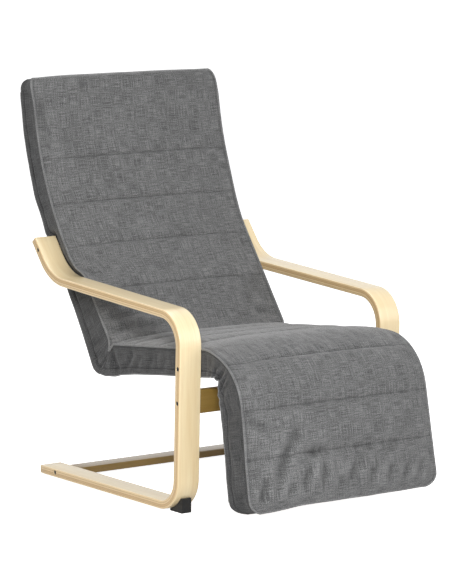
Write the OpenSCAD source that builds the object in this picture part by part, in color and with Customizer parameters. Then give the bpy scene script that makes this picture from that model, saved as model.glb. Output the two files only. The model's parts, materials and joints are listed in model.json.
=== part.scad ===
// Deck recliner: two cantilevered side frames of laminated birch carry a bent seat and back
// frame with a padded cover, and a padded footrest on ratchet hinges at the front of the seat.
// X runs across the chair, the sitter faces -Y, and the floor is at Z = 0.

/* [Side frames] */
// Width over both side frames
overall_w = 670; // [620:1:760]
// Width of the bent strip, across the chair
strip_w = 62.5; // [50:0.5:75]
// Thickness of the bent strip
strip_t = 21; // [18:0.5:24]
// Straight length of the runner on the floor
runner_len = 540; // [500:1:600]
// Radius of the bend at the foot, to the middle of the strip
foot_bend_r = 70.5; // [55:0.5:85]
// Straight length of the post
post_len = 324; // [300:1:350]
// Forward lean of the post, in degrees
post_lean = 1.9; // [0:0.1:4]
// Radius of the bend at the front of the arm, to the middle of the strip
arm_bend_r = 75.5; // [60:0.5:90]
// Straight length of the arm
arm_len = 440; // [420:1:470]
// Rise of the arm towards the back, in degrees
arm_rise = 3; // [1:0.1:5]
// Radius of the bend that turns the arm up, to the middle of the strip
upturn_bend_r = 130.5; // [110:0.5:150]
// Heading of the upturned end, in degrees above level
upturn_angle = 51; // [46:0.5:56]
// Straight length of the upturned end
upturn_len = 62; // [55:1:75]

/* [Crossbars] */
// Thickness of the crossbars
bar_t = 18; // [15:0.5:22]
// Height of the front crossbar
front_bar_h = 58; // [45:1:70]
// Width of the rear crossbar, along the runners
rear_bar_w = 52; // [40:1:70]
// Width of the crossbar behind the back, along the back
back_bar_w = 58; // [45:1:70]
// Distance of the front crossbar's bolts up the post
front_bar_up = 191; // [150:1:220]
// Distance of the rear crossbar's bolts from the runner's end
rear_bar_in = 70; // [50:1:120]

/* [Seat and back frame] */
// Width of the seat and back rails, across the chair
rail_w = 45; // [35:1:52]
// Thickness of the seat and back rails
rail_t = 18; // [15:0.5:22]
// Length of the spacers between the side frames and the rails
spacer_len = 10.5; // [9.5:0.5:14]
// Distance of the seat bolts up the post
seat_bolt_up = 275; // [250:1:300]
// Distance of the upturn bolts from the strip's end
upturn_bolt_in = 33; // [28:1:36]
// Slope of the seat down to the rear, in degrees
seat_slope = 5.7; // [4:0.1:8]
// Length of the seat rails ahead of their bolts
seat_nose = 36; // [34:1:40]
// Slope of the lower back, in degrees above level
back_angle = 53.4; // [50:0.2:56]
// Bend between seat and back, to the middle of the rail
corner_r = 70; // [60:1:80]
// Straight length of the lower back
back_straight = 274; // [250:1:300]
// Radius of the curved upper back
back_curve_r = 790; // [700:5:900]
// Turn of the curved upper back, in degrees
back_curve_turn = 30; // [24:0.5:34]
// Straight length at the top of the back rails
head_len = 20; // [15:1:40]

/* [Slats] */
// Width of the slats and of the head, seat front and footrest end rails
slat_w = 48; // [40:1:55]
// Thickness of the slats
slat_t = 12; // [10:0.5:15]
// Diameter of the dowels
dowel_d = 8; // [6:1:8]
// Length of the dowels
dowel_len = 36; // [30:1:50]

/* [Footrest] */
// Distance of the footrest's pivot ahead of the seat rails
knee_ahead = 56; // [54:0.5:60]
// Drop of the footrest's pivot below the middle of the seat rails
knee_drop = 13.2; // [12:0.1:15]
// Forward slope of the hanging footrest from the vertical, in degrees
foot_slope = 12.5; // [10:0.5:15]
// Distance of the footrest rails ahead of the pivot's line
foot_ahead = 20; // [19:0.5:23]
// Distance from the pivot to the top of the footrest rails
foot_top = 18; // [18:0.5:22]
// Length of the footrest rails
foot_len = 282; // [260:1:300]

/* [Hinges and bolts] */
// Diameter of the frame bolts
bolt_d = 6; // [5:1:8]
// Diameter of the bolt heads
head_d = 11; // [10:0.5:12]
// Diameter of the hinge pins
pin_d = 8; // [6:0.5:9]
// Thickness of the hinge plates
leaf_t = 3; // [2.5:0.1:3.2]
// Radius of the notched disc
notch_disc_r = 16; // [15:0.5:16.5]
// Diameter of the screws in the hinges and crossbar
screw_d = 4; // [3.5:0.5:5]

/* [Feet] */
// Thickness of the pads under the runners' rear ends
foot_pad_t = 3; // [2:0.5:5]
// Width of the wedge feet
wedge_w = 28; // [22:1:34]
// Height of the wedge feet
wedge_h = 36; // [30:1:40]

/* [Cover] */
// Thickness of the seat and back pad at its edges
pad_t = 33; // [28:1:38]
// Thickness of the footrest pad at its edges
foot_pad_depth = 45; // [40:1:48]
// Extra height of the pads at mid-width
crown = 14; // [6:1:18]
// Depth of the sewn channels at mid-width
channel = 6; // [2:0.5:8]
// Length of the back pad from the seat to its first sewn channel
first_panel = 174; // [150:1:180]
// Distance between the sewn channels of the back
seam_pitch = 128; // [115:1:135]
// Distance between the sewn channels of the footrest
foot_seam_pitch = 116; // [105:1:125]
// Reach of the back pad past the strips' inner faces, above the arms
back_wider = 10.5; // [4:0.5:18]
// Reach of the footrest pad past the strips' inner faces
foot_wider = 4.5; // [0:0.5:12]
// Gap between the seat pad and the strips' inner faces
arm_gap = 2.5; // [1:0.5:5]
// Overhang of the cover behind the seat and back rails
hem = 15.5; // [12:0.5:20]
// Extra depth of the back's flaps where they meet the seat
back_hem_drop = 46; // [20:1:50]
// Extra depth of the seat's flaps where they meet the back
seat_hem_drop = 36; // [10:1:40]
// Overhang of the cover behind the footrest rails
foot_hem = 28; // [20:0.5:32]
// Length of the cover beyond the top of the back rails
head_cap = 32; // [28:1:40]
// Length of the cover below the footrest rails
toe_cap = 33; // [28:1:40]
// Length of the pocket behind the top of the back
pocket_len = 170; // [120:1:220]

/* [Hidden] */

// Colours of the wood, the metal, the rubber and the fabric
birch = [0.87, 0.77, 0.6];
steel = [0.62, 0.62, 0.64];
black = [0.08, 0.08, 0.08];
cloth = [0.36, 0.37, 0.38];

// Overrun of cuts, and the clearances of holes, running fits and soft pieces
over = 1;
hole_play = 0.3;
run_play = 0.08;
soft_gap = 0.5;
// Largest turn in degrees of one flat of a bend, and facets of round holes and discs
bend_step_deg = 3;
round_fn = 48;

// A pose is [y, z, heading in degrees above +Y]; a leg is [length, 0] or [bend radius, turn].
function leg_len(leg) = leg[1] == 0 ? leg[0] : leg[0] * abs(leg[1]) * PI / 180;
function along_leg(p, leg, d) = leg[1] == 0
    ? [p[0] + d * cos(p[2]), p[1] + d * sin(p[2]), p[2]]
    : let (side = sign(leg[1]), r = leg[0] * side, h = p[2] + side * d / leg[0] * 180 / PI)
      [p[0] + r * (sin(h) - sin(p[2])), p[1] - r * (cos(h) - cos(p[2])), h];
function pose_at(p, legs, d, i = 0) =
    i == len(legs) - 1 || d <= leg_len(legs[i])
    ? along_leg(p, legs[i], d)
    : pose_at(along_leg(p, legs[i], leg_len(legs[i])), legs, d - leg_len(legs[i]), i + 1);
function path_len(legs, i = 0) = i == len(legs) ? 0 : leg_len(legs[i]) + path_len(legs, i + 1);

// Distances along a path at which its outline has a corner
function steps(leg) = leg[1] == 0 ? 1 : ceil(abs(leg[1]) / bend_step_deg);
function corners(legs, i = 0, from = 0) = i == len(legs)
    ? [from]
    : concat(
        [for (k = [0 : steps(legs[i]) - 1]) from + leg_len(legs[i]) * k / steps(legs[i])],
        corners(legs, i + 1, from + leg_len(legs[i])));

// A point at height n above a pose, to the left of its heading, and the band between heights
function lift(p, n) = [p[0] - n * sin(p[2]), p[1] + n * cos(p[2])];
function raised(p, n) = [lift(p, n)[0], lift(p, n)[1], p[2]];
function band(p, legs, low, high) = let (s = corners(legs)) concat(
    [for (d = s) lift(pose_at(p, legs, d), high)],
    [for (k = [len(s) - 1 : -1 : 0]) lift(pose_at(p, legs, s[k]), low)]);
function cross2(a, b) = a[0] * b[1] - a[1] * b[0];
function unit(h) = [cos(h), sin(h)];

// The strip starts at the runner's rear end and runs forward, up the post and back along the arm.
inner_x = overall_w / 2 - strip_w;
strip_x = overall_w / 2 - strip_w / 2;
strip_start = [0, foot_pad_t + strip_t / 2, 180];
post_heading = 90 + post_lean;
strip_legs = [
    [runner_len, 0],
    [foot_bend_r, post_heading - 180],
    [post_len, 0],
    [arm_bend_r, arm_rise - post_heading],
    [arm_len, 0],
    [upturn_bend_r, upturn_angle - arm_rise],
    [upturn_len, 0]
];
post_from = runner_len + leg_len(strip_legs[1]);
front_bar_pose = pose_at(strip_start, strip_legs, post_from + front_bar_up);
seat_bolt = pose_at(strip_start, strip_legs, post_from + seat_bolt_up);
upturn_bolt = pose_at(strip_start, strip_legs, path_len(strip_legs) - upturn_bolt_in);
rear_bar_pose = [-rear_bar_in, foot_pad_t + strip_t - bar_t / 2, 0];

// The seat rail's middle passes the seat bolt, and the back rail lies against the back crossbar,
// whose middle is the upturn bolt. Seat and back meet where those two lines cross.
seat_heading = -seat_slope;
back_base = lift([upturn_bolt[0], upturn_bolt[1], back_angle], (rail_t + bar_t) / 2);
to_corner = cross2(back_base - [seat_bolt[0], seat_bolt[1]], unit(back_angle))
    / cross2(unit(seat_heading), unit(back_angle));
corner_turn = back_angle - seat_heading;
seat_len = seat_nose + to_corner - corner_r * tan(corner_turn / 2);
rail_start = [
    seat_bolt[0] - seat_nose * cos(seat_heading),
    seat_bolt[1] - seat_nose * sin(seat_heading),
    seat_heading
];
rail_legs = [
    [seat_len, 0],
    [corner_r, corner_turn],
    [back_straight, 0],
    [back_curve_r, back_curve_turn],
    [head_len, 0]
];
rail_len = path_len(rail_legs);
rail_out_x = inner_x - spacer_len;
rail_in_x = rail_out_x - rail_w;
corner_mid = seat_len + leg_len(rail_legs[1]) / 2;
back_from = seat_len + leg_len(rail_legs[1]);
back_bar_at = back_from + (back_base - [
    pose_at(rail_start, rail_legs, back_from)[0],
    pose_at(rail_start, rail_legs, back_from)[1]
]) * unit(back_angle);
back_bar_pose = raised(pose_at(rail_start, rail_legs, back_bar_at), -(rail_t + bar_t) / 2);

// The footrest turns on a pivot ahead of the seat rails. Its path runs up from the rails' lower
// end to the pivot, with the pad on the left of the heading.
pivot = let (p = pose_at(rail_start, rail_legs, -knee_ahead)) lift(p, -knee_drop);
foot_heading = 90 - foot_slope;
foot_reach = foot_top + foot_len;
foot_start = let (p = [pivot[0], pivot[1], foot_heading])
    raised([p[0] - foot_reach * cos(p[2]), p[1] - foot_reach * sin(p[2]), p[2]], foot_ahead);
bracket_t = 2;
leaf_gap = leaf_t / 10;
foot_in_x = rail_in_x - bracket_t - leaf_gap;
foot_out_x = foot_in_x + rail_w;

// Front end of the cover to the rear end: the frame's origin lies midway between them.
foremost_y = lift(pose_at(foot_start, [[foot_reach, 0]], -toe_cap / 2),
    rail_t / 2 + foot_pad_depth + crown)[0];
rearmost_y = lift(pose_at(rail_start, rail_legs, rail_len + head_cap / 2),
    -rail_t / 2 - hem)[0];
mid_y = (foremost_y + rearmost_y) / 2;

// Everything is drawn from the runner's rear end and moved so that the origin is underneath
// the middle of the chair.
module placed() {
    translate([0, -mid_y, 0])
        children();
}

// Children drawn with Y along the pose's heading and Z to its left
module at_pose(p) {
    translate([0, p[0], p[1]])
        rotate([p[2], 0, 0])
            children();
}

// A profile in the side plane, drawn out from one X to another
module slab(from_x, to_x) {
    translate([from_x, 0, 0])
        rotate([90, 0, 90])
            linear_extrude(to_x - from_x)
                children();
}

// A round bar along X from one X to another, through the point of a pose
module rod(p, d, from_x, to_x) {
    translate([from_x, p[0], p[1]])
        rotate([0, 90, 0])
            cylinder(h = to_x - from_x, d = d, $fn = round_fn);
}

// A board across the chair: along the path, thick, with its middle at the pose
module board(p, along, thick, half_x) {
    at_pose(p)
        translate([-half_x, -along / 2, -thick / 2])
            cube([2 * half_x, along, thick]);
}

module both_sides() {
    children();
    mirror([1, 0, 0])
        children();
}

module one_side(side) {
    if (side > 0) {
        children();
    } else {
        mirror([1, 0, 0])
            children();
    }
}

// Bolts lie along X. The head sits in a recess in the strip's outer edge, the shank passes the
// strip and ends in a barrel nut inside the bar that it holds.
head_t = 5;
head_in = 1.5;
nut_d = 10;
nut_in = 30;
nut_skin = 3;
bolt_past_nut = 8;
socket_d = 5;
socket_depth = 3;
bolt_places = [
    [seat_bolt, rail_out_x],
    [back_bar_pose, rail_out_x],
    [front_bar_pose, inner_x],
    [rear_bar_pose, inner_x]
];

module bolt_hole(p, to_x) {
    rod(p, bolt_d + 2 * hole_play, to_x, overall_w / 2 + over);
    rod(p, head_d + 2 * hole_play, overall_w / 2 - head_in - head_t, overall_w / 2 + over);
}

module bolt(place) {
    head_x = overall_w / 2 - head_in;
    difference() {
        union() {
            rod(place[0], bolt_d, place[1] - nut_in - bolt_past_nut, head_x - head_t);
            rod(place[0], head_d, head_x - head_t, head_x);
        }
        translate([head_x - socket_depth, place[0][0], place[0][1]])
            rotate([0, 90, 0])
                cylinder(h = socket_depth + over, d = socket_d, $fn = 6);
    }
}

module bolt_pair(place) {
    color(steel)
        placed()
            both_sides()
                bolt(place);
}

// A barrel nut stands across the bar in a blind hole, with its tapped hole on the bolt. The bar's
// upper or front face stays whole over it.
module barrel_nut(place, thick) {
    difference() {
        at_pose([place[0][0], place[0][1], nut_heading(place)])
            translate([place[1] - nut_in, 0, -thick / 2])
                cylinder(h = thick - nut_skin - hole_play, d = nut_d, $fn = round_fn);
        rod(place[0], bolt_d, place[1] - nut_in - nut_d, place[1] - nut_in + nut_d);
    }
}

// Heading of the board that holds the nut: seat rail, back crossbar, front and rear crossbars
function nut_heading(place) =
    place == bolt_places[0] ? seat_heading : place[0][2];

// The hole that a bolt's end and its nut need in the bar
module nut_hole(place, thick) {
    rod(place[0], bolt_d + 2 * hole_play, place[1] - nut_in - bolt_past_nut - over,
        place[1] + over);
    at_pose([place[0][0], place[0][1], nut_heading(place)])
        translate([place[1] - nut_in, 0, -thick / 2 - over])
            cylinder(h = thick + over - nut_skin, d = nut_d + 2 * hole_play, $fn = round_fn);
}

// Crossbar dowels lie along X on both sides of each bolt
bar_dowel_share = 0.3;
bar_dowels = [
    [front_bar_pose, front_bar_h * bar_dowel_share],
    [rear_bar_pose, rear_bar_w * bar_dowel_share]
];

module bar_dowel_rods(play) {
    for (b = bar_dowels) {
        for (s = [-1, 1]) {
            rod(pose_at(b[0], [[front_bar_h, 0]], s * b[1]), dowel_d + 2 * play,
                inner_x - dowel_len / 2 - play, inner_x + dowel_len / 2 + play);
        }
    }
}

module side_frame(side) {
    color(birch)
        placed()
            one_side(side)
                difference() {
                    slab(inner_x, overall_w / 2)
                        polygon(band(strip_start, strip_legs, -strip_t / 2, strip_t / 2));
                    for (place = bolt_places)
                        bolt_hole(place[0], inner_x - over);
                    bar_dowel_rods(hole_play);
                    foot_screw_rod(screw_d - 2 * run_play);
                }
}

module crossbar(p, along, place) {
    color(birch)
        placed()
            difference() {
                board(p, along, bar_t, place[1]);
                both_sides() {
                    nut_hole(place, bar_t);
                    bar_dowel_rods(hole_play);
                }
            }
}

// Screws hold the back crossbar to the rails, driven from behind
bar_screw_share = 0.28;
bar_screw_len = 30;
bar_screw_x = rail_in_x + rail_w / 2;
csk_depth = 2;

module screw_down(d, length) {
    translate([0, 0, -length])
        cylinder(h = length, d = d, $fn = round_fn);
    translate([0, 0, -csk_depth])
        cylinder(h = csk_depth, d1 = d, d2 = 2 * d, $fn = round_fn);
}

module bar_screws(play) {
    both_sides()
        for (s = [-1, 1])
            at_pose(back_bar_pose)
                translate([bar_screw_x, s * back_bar_w * bar_screw_share, -bar_t / 2])
                    rotate([180, 0, 0])
                        screw_down(screw_d + 2 * play, bar_screw_len + play);
}

module back_crossbar() {
    color(birch)
        placed()
            difference() {
                board(back_bar_pose, back_bar_w, bar_t, rail_out_x);
                both_sides()
                    nut_hole(bolt_places[1], bar_t);
                bar_screws(hole_play);
            }
}

// Boards between the rails, each [distance along the rails' path, width along the path, thick].
// The head rail and the seat front rail are as thick as the rails.
slat_top = rail_t / 2 - slat_t / 2;
head_at = rail_len - slat_w;
seat_front_at = seat_nose + nut_d + slat_w / 2;
back_slat_count = 5;
seat_slat_count = 3;
back_pitch = (head_at - back_from) / back_slat_count;
seat_pitch = (corner_mid - seat_front_at) / (seat_slat_count + 1);
function back_slat_at(i) = back_from + back_pitch * (i - 1) + slat_w / 2;
function seat_slat_at(i) = seat_front_at + seat_pitch * i;
slat_places = concat(
    [[head_at, rail_t, 0], [seat_front_at, rail_t, 0]],
    [for (i = [1 : back_slat_count]) [back_slat_at(i), slat_t, slat_top]],
    [for (i = [1 : seat_slat_count]) [seat_slat_at(i), slat_t, slat_top]]);
slat_dowel_share = 0.27;

function slat_pose(place) = raised(pose_at(rail_start, rail_legs, place[0]), place[2]);

// Dowels along X in both ends of a board whose ends lie at an X
module end_dowels(p, end_x, play) {
    both_sides()
        for (s = [-1, 1])
            at_pose(p)
                translate([end_x - dowel_len / 2 - play, s * slat_w * slat_dowel_share, 0])
                    rotate([0, 90, 0])
                        cylinder(h = dowel_len + 2 * play, d = dowel_d + 2 * play, $fn = round_fn);
}

module slat(place) {
    color(birch)
        placed()
            difference() {
                board(slat_pose(place), slat_w, place[1], rail_in_x);
                end_dowels(slat_pose(place), rail_in_x, run_play);
            }
}

module seat_back_rail(side) {
    color(birch)
        placed()
            one_side(side)
                difference() {
                    slab(rail_in_x, rail_out_x)
                        polygon(band(rail_start, rail_legs, -rail_t / 2, rail_t / 2));
                    for (place = slat_places)
                        end_dowels(slat_pose(place), rail_in_x, run_play);
                    nut_hole(bolt_places[0], rail_t);
                    bar_screws(-run_play);
                    bracket_screws(-run_play);
                }
}

module slat_dowels() {
    color(birch)
        placed()
            for (place = slat_places)
                end_dowels(slat_pose(place), rail_in_x, 0);
}

module crossbar_dowels() {
    color(birch)
        placed()
            both_sides()
                bar_dowel_rods(0);
}

spacer_d = 14;

module bolt_spacers() {
    color(steel)
        placed()
            both_sides()
                for (place = [bolt_places[0], bolt_places[1]])
                    difference() {
                        rod(place[0], spacer_d, rail_out_x, inner_x);
                        rod(place[0], bolt_d + 2 * hole_play, rail_out_x - over, inner_x + over);
                    }
}

module barrel_nuts() {
    color(steel)
        placed()
            both_sides() {
                barrel_nut(bolt_places[0], rail_t);
                for (i = [1 : 3])
                    barrel_nut(bolt_places[i], bar_t);
            }
}

module back_crossbar_screws() {
    color(steel)
        placed()
            bar_screws(0);
}

// The wedge foot fills the corner under the front bend and follows its outer face
bend_centre = let (p = pose_at(strip_start, strip_legs, runner_len)) lift(p, -foot_bend_r);
bend_out_r = foot_bend_r + strip_t / 2 + hole_play;
wedge_cover_share = 0.45;
wedge_front_y = bend_centre[0] - bend_out_r + strip_t * wedge_cover_share;
wedge_tip_ahead = 22;
wedge_low_angle = asin(wedge_tip_ahead / bend_out_r);
wedge_high_angle = acos((bend_centre[1] - wedge_h) / bend_out_r);
wedge_flat_count = 16;

module front_foot(side) {
    color(black)
        placed()
            one_side(side)
                difference() {
                    slab(strip_x - wedge_w / 2, strip_x + wedge_w / 2)
                        polygon(concat(
                            [
                                [bend_centre[0] - wedge_tip_ahead, 0],
                                [wedge_front_y, 0],
                                [wedge_front_y, wedge_h]
                            ],
                            [
                                for (k = [0 : wedge_flat_count])
                                let (a = wedge_high_angle
                                    + (wedge_low_angle - wedge_high_angle) * k / wedge_flat_count)
                                bend_centre - bend_out_r * [sin(a), cos(a)]
                            ]));
                    foot_screw_rod(screw_d + 2 * hole_play);
                    foot_screw_head(hole_play);
                }
}

foot_screw_y = bend_centre[0] - wedge_tip_ahead - wedge_w / 2;
foot_screw_len = 22;
foot_screw_sink = 2;

module foot_screw_rod(d) {
    translate([strip_x, foot_screw_y, foot_screw_sink])
        cylinder(h = foot_screw_len, d = d, $fn = round_fn);
}

module foot_screw_head(play) {
    translate([strip_x, foot_screw_y, foot_screw_sink - over])
        cylinder(h = over + csk_depth, d = 2 * screw_d + 2 * play, $fn = round_fn);
    translate([strip_x, foot_screw_y, -over])
        cylinder(h = foot_screw_sink + over, d = 2 * screw_d + 2 * play, $fn = round_fn);
}

module front_foot_screws() {
    color(steel)
        placed()
            both_sides() {
                foot_screw_rod(screw_d);
                translate([strip_x, foot_screw_y, foot_screw_sink])
                    cylinder(h = csk_depth, d = 2 * screw_d, $fn = round_fn);
            }
}

rear_pad_d = 24;

module rear_pads() {
    color(black)
        placed()
            both_sides()
                translate([strip_x, -rear_pad_d, 0])
                    cylinder(h = foot_pad_t, d = rear_pad_d, $fn = round_fn);
}

// The hinges lie against the inner faces of the rails. From the rail inwards come the bracket's
// outer leaf, the notched leaf and the bracket's inner leaf, with running gaps between them.
outer_leaf_x = rail_in_x - bracket_t;
notch_leaf_x = outer_leaf_x - leaf_gap - leaf_t;
inner_leaf_x = notch_leaf_x - leaf_gap - bracket_t;
bracket_r = 20;
bracket_w = 20;
bracket_len = 92;
inner_leaf_len = 58;
bridge_len = 14;
rivet_head_d = 13;
rivet_head_t = 1.5;
pawl_pin_d = 4;
pawl_arm = 28;
pawl_boss_r = 5;
bracket_heading = let (p = pose_at(rail_start, rail_legs, bracket_len / 2))
    atan2(p[1] - pivot[1], p[0] - pivot[0]);
bracket_pose = [pivot[0], pivot[1], bracket_heading];
pawl_pose = pose_at(bracket_pose, [[bracket_len, 0]], pawl_arm);
bracket_screw_shares = [0.69, 0.86];
leaf_screw_shares = [0.6, 0.88];
leaf_len = 86;
leaf_w = 18;
hinge_screw_len = 18;
screw_head_t = 1.8;

module bracket_leaf(from_x, length) {
    difference() {
        union() {
            rod(pivot, 2 * bracket_r, from_x, from_x + bracket_t);
            at_pose(bracket_pose)
                translate([from_x, 0, -bracket_w / 2])
                    cube([bracket_t, length, bracket_w]);
        }
        rod(pivot, pin_d + run_play, from_x - over, from_x + bracket_t + over);
        rod(pawl_pose, pawl_pin_d + run_play, from_x - over, from_x + bracket_t + over);
    }
}

module bracket_screws(play) {
    for (share = bracket_screw_shares)
        rod(pose_at(bracket_pose, [[bracket_len, 0]], bracket_len * share), screw_d + 2 * play,
            outer_leaf_x, rail_in_x + hinge_screw_len);
}

module hinge_bracket(side) {
    color(steel)
        placed()
            one_side(side)
                difference() {
                    union() {
                        bracket_leaf(outer_leaf_x, bracket_len);
                        bracket_leaf(inner_leaf_x, inner_leaf_len);
                        at_pose(bracket_pose)
                            translate([inner_leaf_x, inner_leaf_len - bridge_len, -bracket_w / 2])
                                cube([outer_leaf_x + bracket_t - inner_leaf_x, bridge_len,
                                    bracket_w]);
                    }
                    for (share = bracket_screw_shares)
                        rod(pose_at(bracket_pose, [[bracket_len, 0]], bracket_len * share),
                            screw_d + 2 * hole_play, outer_leaf_x - over, rail_in_x + over);
                }
}

module hinge_bracket_screws() {
    color(steel)
        placed()
            both_sides() {
                bracket_screws(0);
                for (share = bracket_screw_shares)
                    rod(pose_at(bracket_pose, [[bracket_len, 0]], bracket_len * share),
                        2 * screw_d, outer_leaf_x - screw_head_t, outer_leaf_x);
            }
}

module headed_pin(p, d, head) {
    rod(p, d, inner_leaf_x - rivet_head_t, rail_in_x + rivet_head_t);
    rod(p, head, inner_leaf_x - rivet_head_t, inner_leaf_x);
    rod(p, head, rail_in_x, rail_in_x + rivet_head_t);
}

module hinge_pins() {
    color(steel)
        placed()
            both_sides()
                headed_pin(pivot, pin_d, rivet_head_d);
}

module pawl_pins() {
    color(steel)
        placed()
            both_sides()
                headed_pin(pawl_pose, pawl_pin_d, 2 * pawl_pin_d);
}

// Notches for the footrest's steps are cut in the leaf's disc, and the pawl's tip stands just
// clear of them
notch_count = 5;
foot_swing_deg = 78;
notch_depth = 2.6;
pawl_tip_angle = 50;
pawl_tip_gap = 0.5;
pawl_tip = pivot + (notch_disc_r + pawl_tip_gap) * unit(pawl_tip_angle);
pawl_w = 5;
pawl_neck_share = 0.9;
pawl_heel_share = 0.8;

module notch(angle) {
    translate([notch_leaf_x - over, pivot[0], pivot[1]])
        rotate([angle, 0, 0])
            rotate([90, 0, 90])
                linear_extrude(leaf_t + 2 * over)
                    polygon([
                        [notch_disc_r - notch_depth, 0],
                        [notch_disc_r + over, -notch_depth / 4],
                        [notch_disc_r + over, notch_depth]
                    ]);
}

module hinge_leaf(side) {
    color(steel)
        placed()
            one_side(side)
                difference() {
                    union() {
                        rod(pivot, 2 * notch_disc_r, notch_leaf_x, notch_leaf_x + leaf_t);
                        at_pose(leaf_pose)
                            translate([notch_leaf_x, 0, -leaf_w / 2])
                                cube([leaf_t, leaf_len, leaf_w]);
                    }
                    rod(pivot, pin_d + 2 * run_play, notch_leaf_x - over,
                        notch_leaf_x + leaf_t + over);
                    for (k = [0 : notch_count - 1])
                        notch(pawl_tip_angle + foot_swing_deg * k / (notch_count - 1));
                    for (share = leaf_screw_shares)
                        rod(pose_at(leaf_pose, [[leaf_len, 0]], leaf_len * share),
                            screw_d + 2 * hole_play, notch_leaf_x - over,
                            notch_leaf_x + leaf_t + over);
                }
}

// The leaf runs from the pivot to the middle of the footrest rail
leaf_end = let (p = pose_at(foot_start, [[foot_len, 0]], foot_len - (leaf_len - foot_top)))
    [p[0], p[1]];
leaf_pose = [pivot[0], pivot[1], atan2(leaf_end[1] - pivot[1], leaf_end[0] - pivot[0])];

module leaf_screws(d, to_x) {
    for (share = leaf_screw_shares)
        rod(pose_at(leaf_pose, [[leaf_len, 0]], leaf_len * share), d, notch_leaf_x,
            to_x);
}

module hinge_leaf_screws() {
    color(steel)
        placed()
            both_sides() {
                leaf_screws(screw_d, foot_in_x + hinge_screw_len);
                translate([-screw_head_t, 0, 0])
                    leaf_screws(2 * screw_d, notch_leaf_x + screw_head_t);
            }
}

module pawl(side) {
    color(steel)
        placed()
            one_side(side)
                difference() {
                    union() {
                        rod(pawl_pose, 2 * pawl_boss_r, notch_leaf_x, notch_leaf_x + leaf_t);
                        slab(notch_leaf_x, notch_leaf_x + leaf_t)
                            polygon([
                                pawl_tip,
                                pawl_tip + pawl_w * unit(pawl_tip_angle),
                                [pawl_pose[0], pawl_pose[1] + pawl_boss_r * pawl_neck_share],
                                [pawl_pose[0], pawl_pose[1]],
                                [pawl_pose[0] - pawl_boss_r * pawl_heel_share, pawl_pose[1]]
                            ]);
                    }
                    rod(pawl_pose, pawl_pin_d + 2 * run_play, notch_leaf_x - over,
                        notch_leaf_x + leaf_t + over);
                }
}

// The footrest's slats, as distances along its path from the rails' lower end. The topmost one
// lies below the hinge leaves.
foot_end_at = slat_w / 2 + foot_ahead / 2;
foot_top_slat_at = foot_reach - leaf_len - slat_w / 2 - bracket_t;
foot_pitch = (foot_top_slat_at - foot_end_at) / 2;
foot_places = [
    [foot_end_at, rail_t, 0],
    [foot_end_at + foot_pitch, slat_t, slat_top],
    [foot_end_at + 2 * foot_pitch, slat_t, slat_top]
];
function foot_pose(place) = raised(pose_at(foot_start, [[foot_len, 0]], place[0]), place[2]);

module foot_slat(place) {
    color(birch)
        placed()
            difference() {
                board(foot_pose(place), slat_w, place[1], foot_in_x);
                end_dowels(foot_pose(place), foot_in_x, run_play);
            }
}

module footrest_rail(side) {
    color(birch)
        placed()
            one_side(side)
                difference() {
                    slab(foot_in_x, foot_out_x)
                        polygon(band(foot_start, [[foot_len, 0]], -rail_t / 2, rail_t / 2));
                    for (place = foot_places)
                        end_dowels(foot_pose(place), foot_in_x, run_play);
                    leaf_screws(screw_d - 2 * run_play, foot_in_x + hinge_screw_len);
                }
}

module footrest_dowels() {
    color(birch)
        placed()
            for (place = foot_places)
                end_dowels(foot_pose(place), foot_in_x, 0);
}

// A pad is a loft of rings. Each ring stands across the path and has a crowned top, two sides
// that are drawn in, and two flaps that hang down outside the rails.
across_shares = [-1, -0.96, -0.86, -0.66, -0.36, 0, 0.36, 0.66, 0.86, 0.96, 1];
crown_exponent = 3;
draw_in = 3;
flap_least_t = 6;
ring_n = len(across_shares) + 8;
flap_x = rail_out_x + soft_gap;

function spot(p, x, n) = [x, lift(p, n)[0], lift(p, n)[1]];
// s is [pose, half width, top at the edge, extra height of the top, underside, lower edge]
function ring(s) = let (w = s[1], mid = (s[2] + s[5]) / 2, in_x = min(flap_x, w - flap_least_t))
    concat(
        [for (u = across_shares) spot(s[0], u * w, s[2] + s[3] * (1 - pow(abs(u), crown_exponent)))],
        [
            spot(s[0], w - draw_in, mid),
            spot(s[0], w, s[5]),
            spot(s[0], in_x, s[5]),
            spot(s[0], in_x, s[4]),
            spot(s[0], -in_x, s[4]),
            spot(s[0], -in_x, s[5]),
            spot(s[0], -w, s[5]),
            spot(s[0], -w + draw_in, mid)
        ]);

// The end of a loft as triangles: the crowned middle as a fan, and the two flaps
function end_faces(from) = let (t = len(across_shares)) [for (f = concat(
    [for (k = [0 : t - 2]) [t + 4, k, k + 1]],
    [
        [t + 4, t - 1, t + 3],
        [t - 1, t, t + 3], [t, t + 1, t + 2], [t, t + 2, t + 3],
        [0, t + 4, t + 7], [t + 7, t + 5, t + 6], [t + 7, t + 4, t + 5]
    ])) [f[0] + from, f[1] + from, f[2] + from]];
function flipped(faces) = [for (f = faces) [f[2], f[1], f[0]]];

module pad(stations) {
    rows = len(stations);
    polyhedron(
        points = [for (s = stations) each ring(s)],
        faces = concat(
            end_faces(0),
            flipped(end_faces((rows - 1) * ring_n)),
            [
                for (i = [0 : rows - 2])
                for (k = [0 : ring_n - 1])
                let (a = i * ring_n + k, b = i * ring_n + (k + 1) % ring_n)
                each [[a, a + ring_n, b + ring_n], [a, b + ring_n, b]]
            ]),
        convexity = 6);
}

// Share of the channel's depth left at a place between two seams, 0 at a seam and 1 midway
function puff(u) = 1 - pow(abs(2 * u - 1), 4);
panel_shares = [0, 0.06, 0.2, 0.5, 0.8, 0.94];
// How the closed ends round off: [share of the length, share of the thickness taken away]
end_shares = [[0.04, 0], [0.45, 0.06], [0.8, 0.2], [1, 0.42]];
function ease(u) = let (v = max(0, min(1, u))) v * v * (3 - 2 * v);

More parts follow.
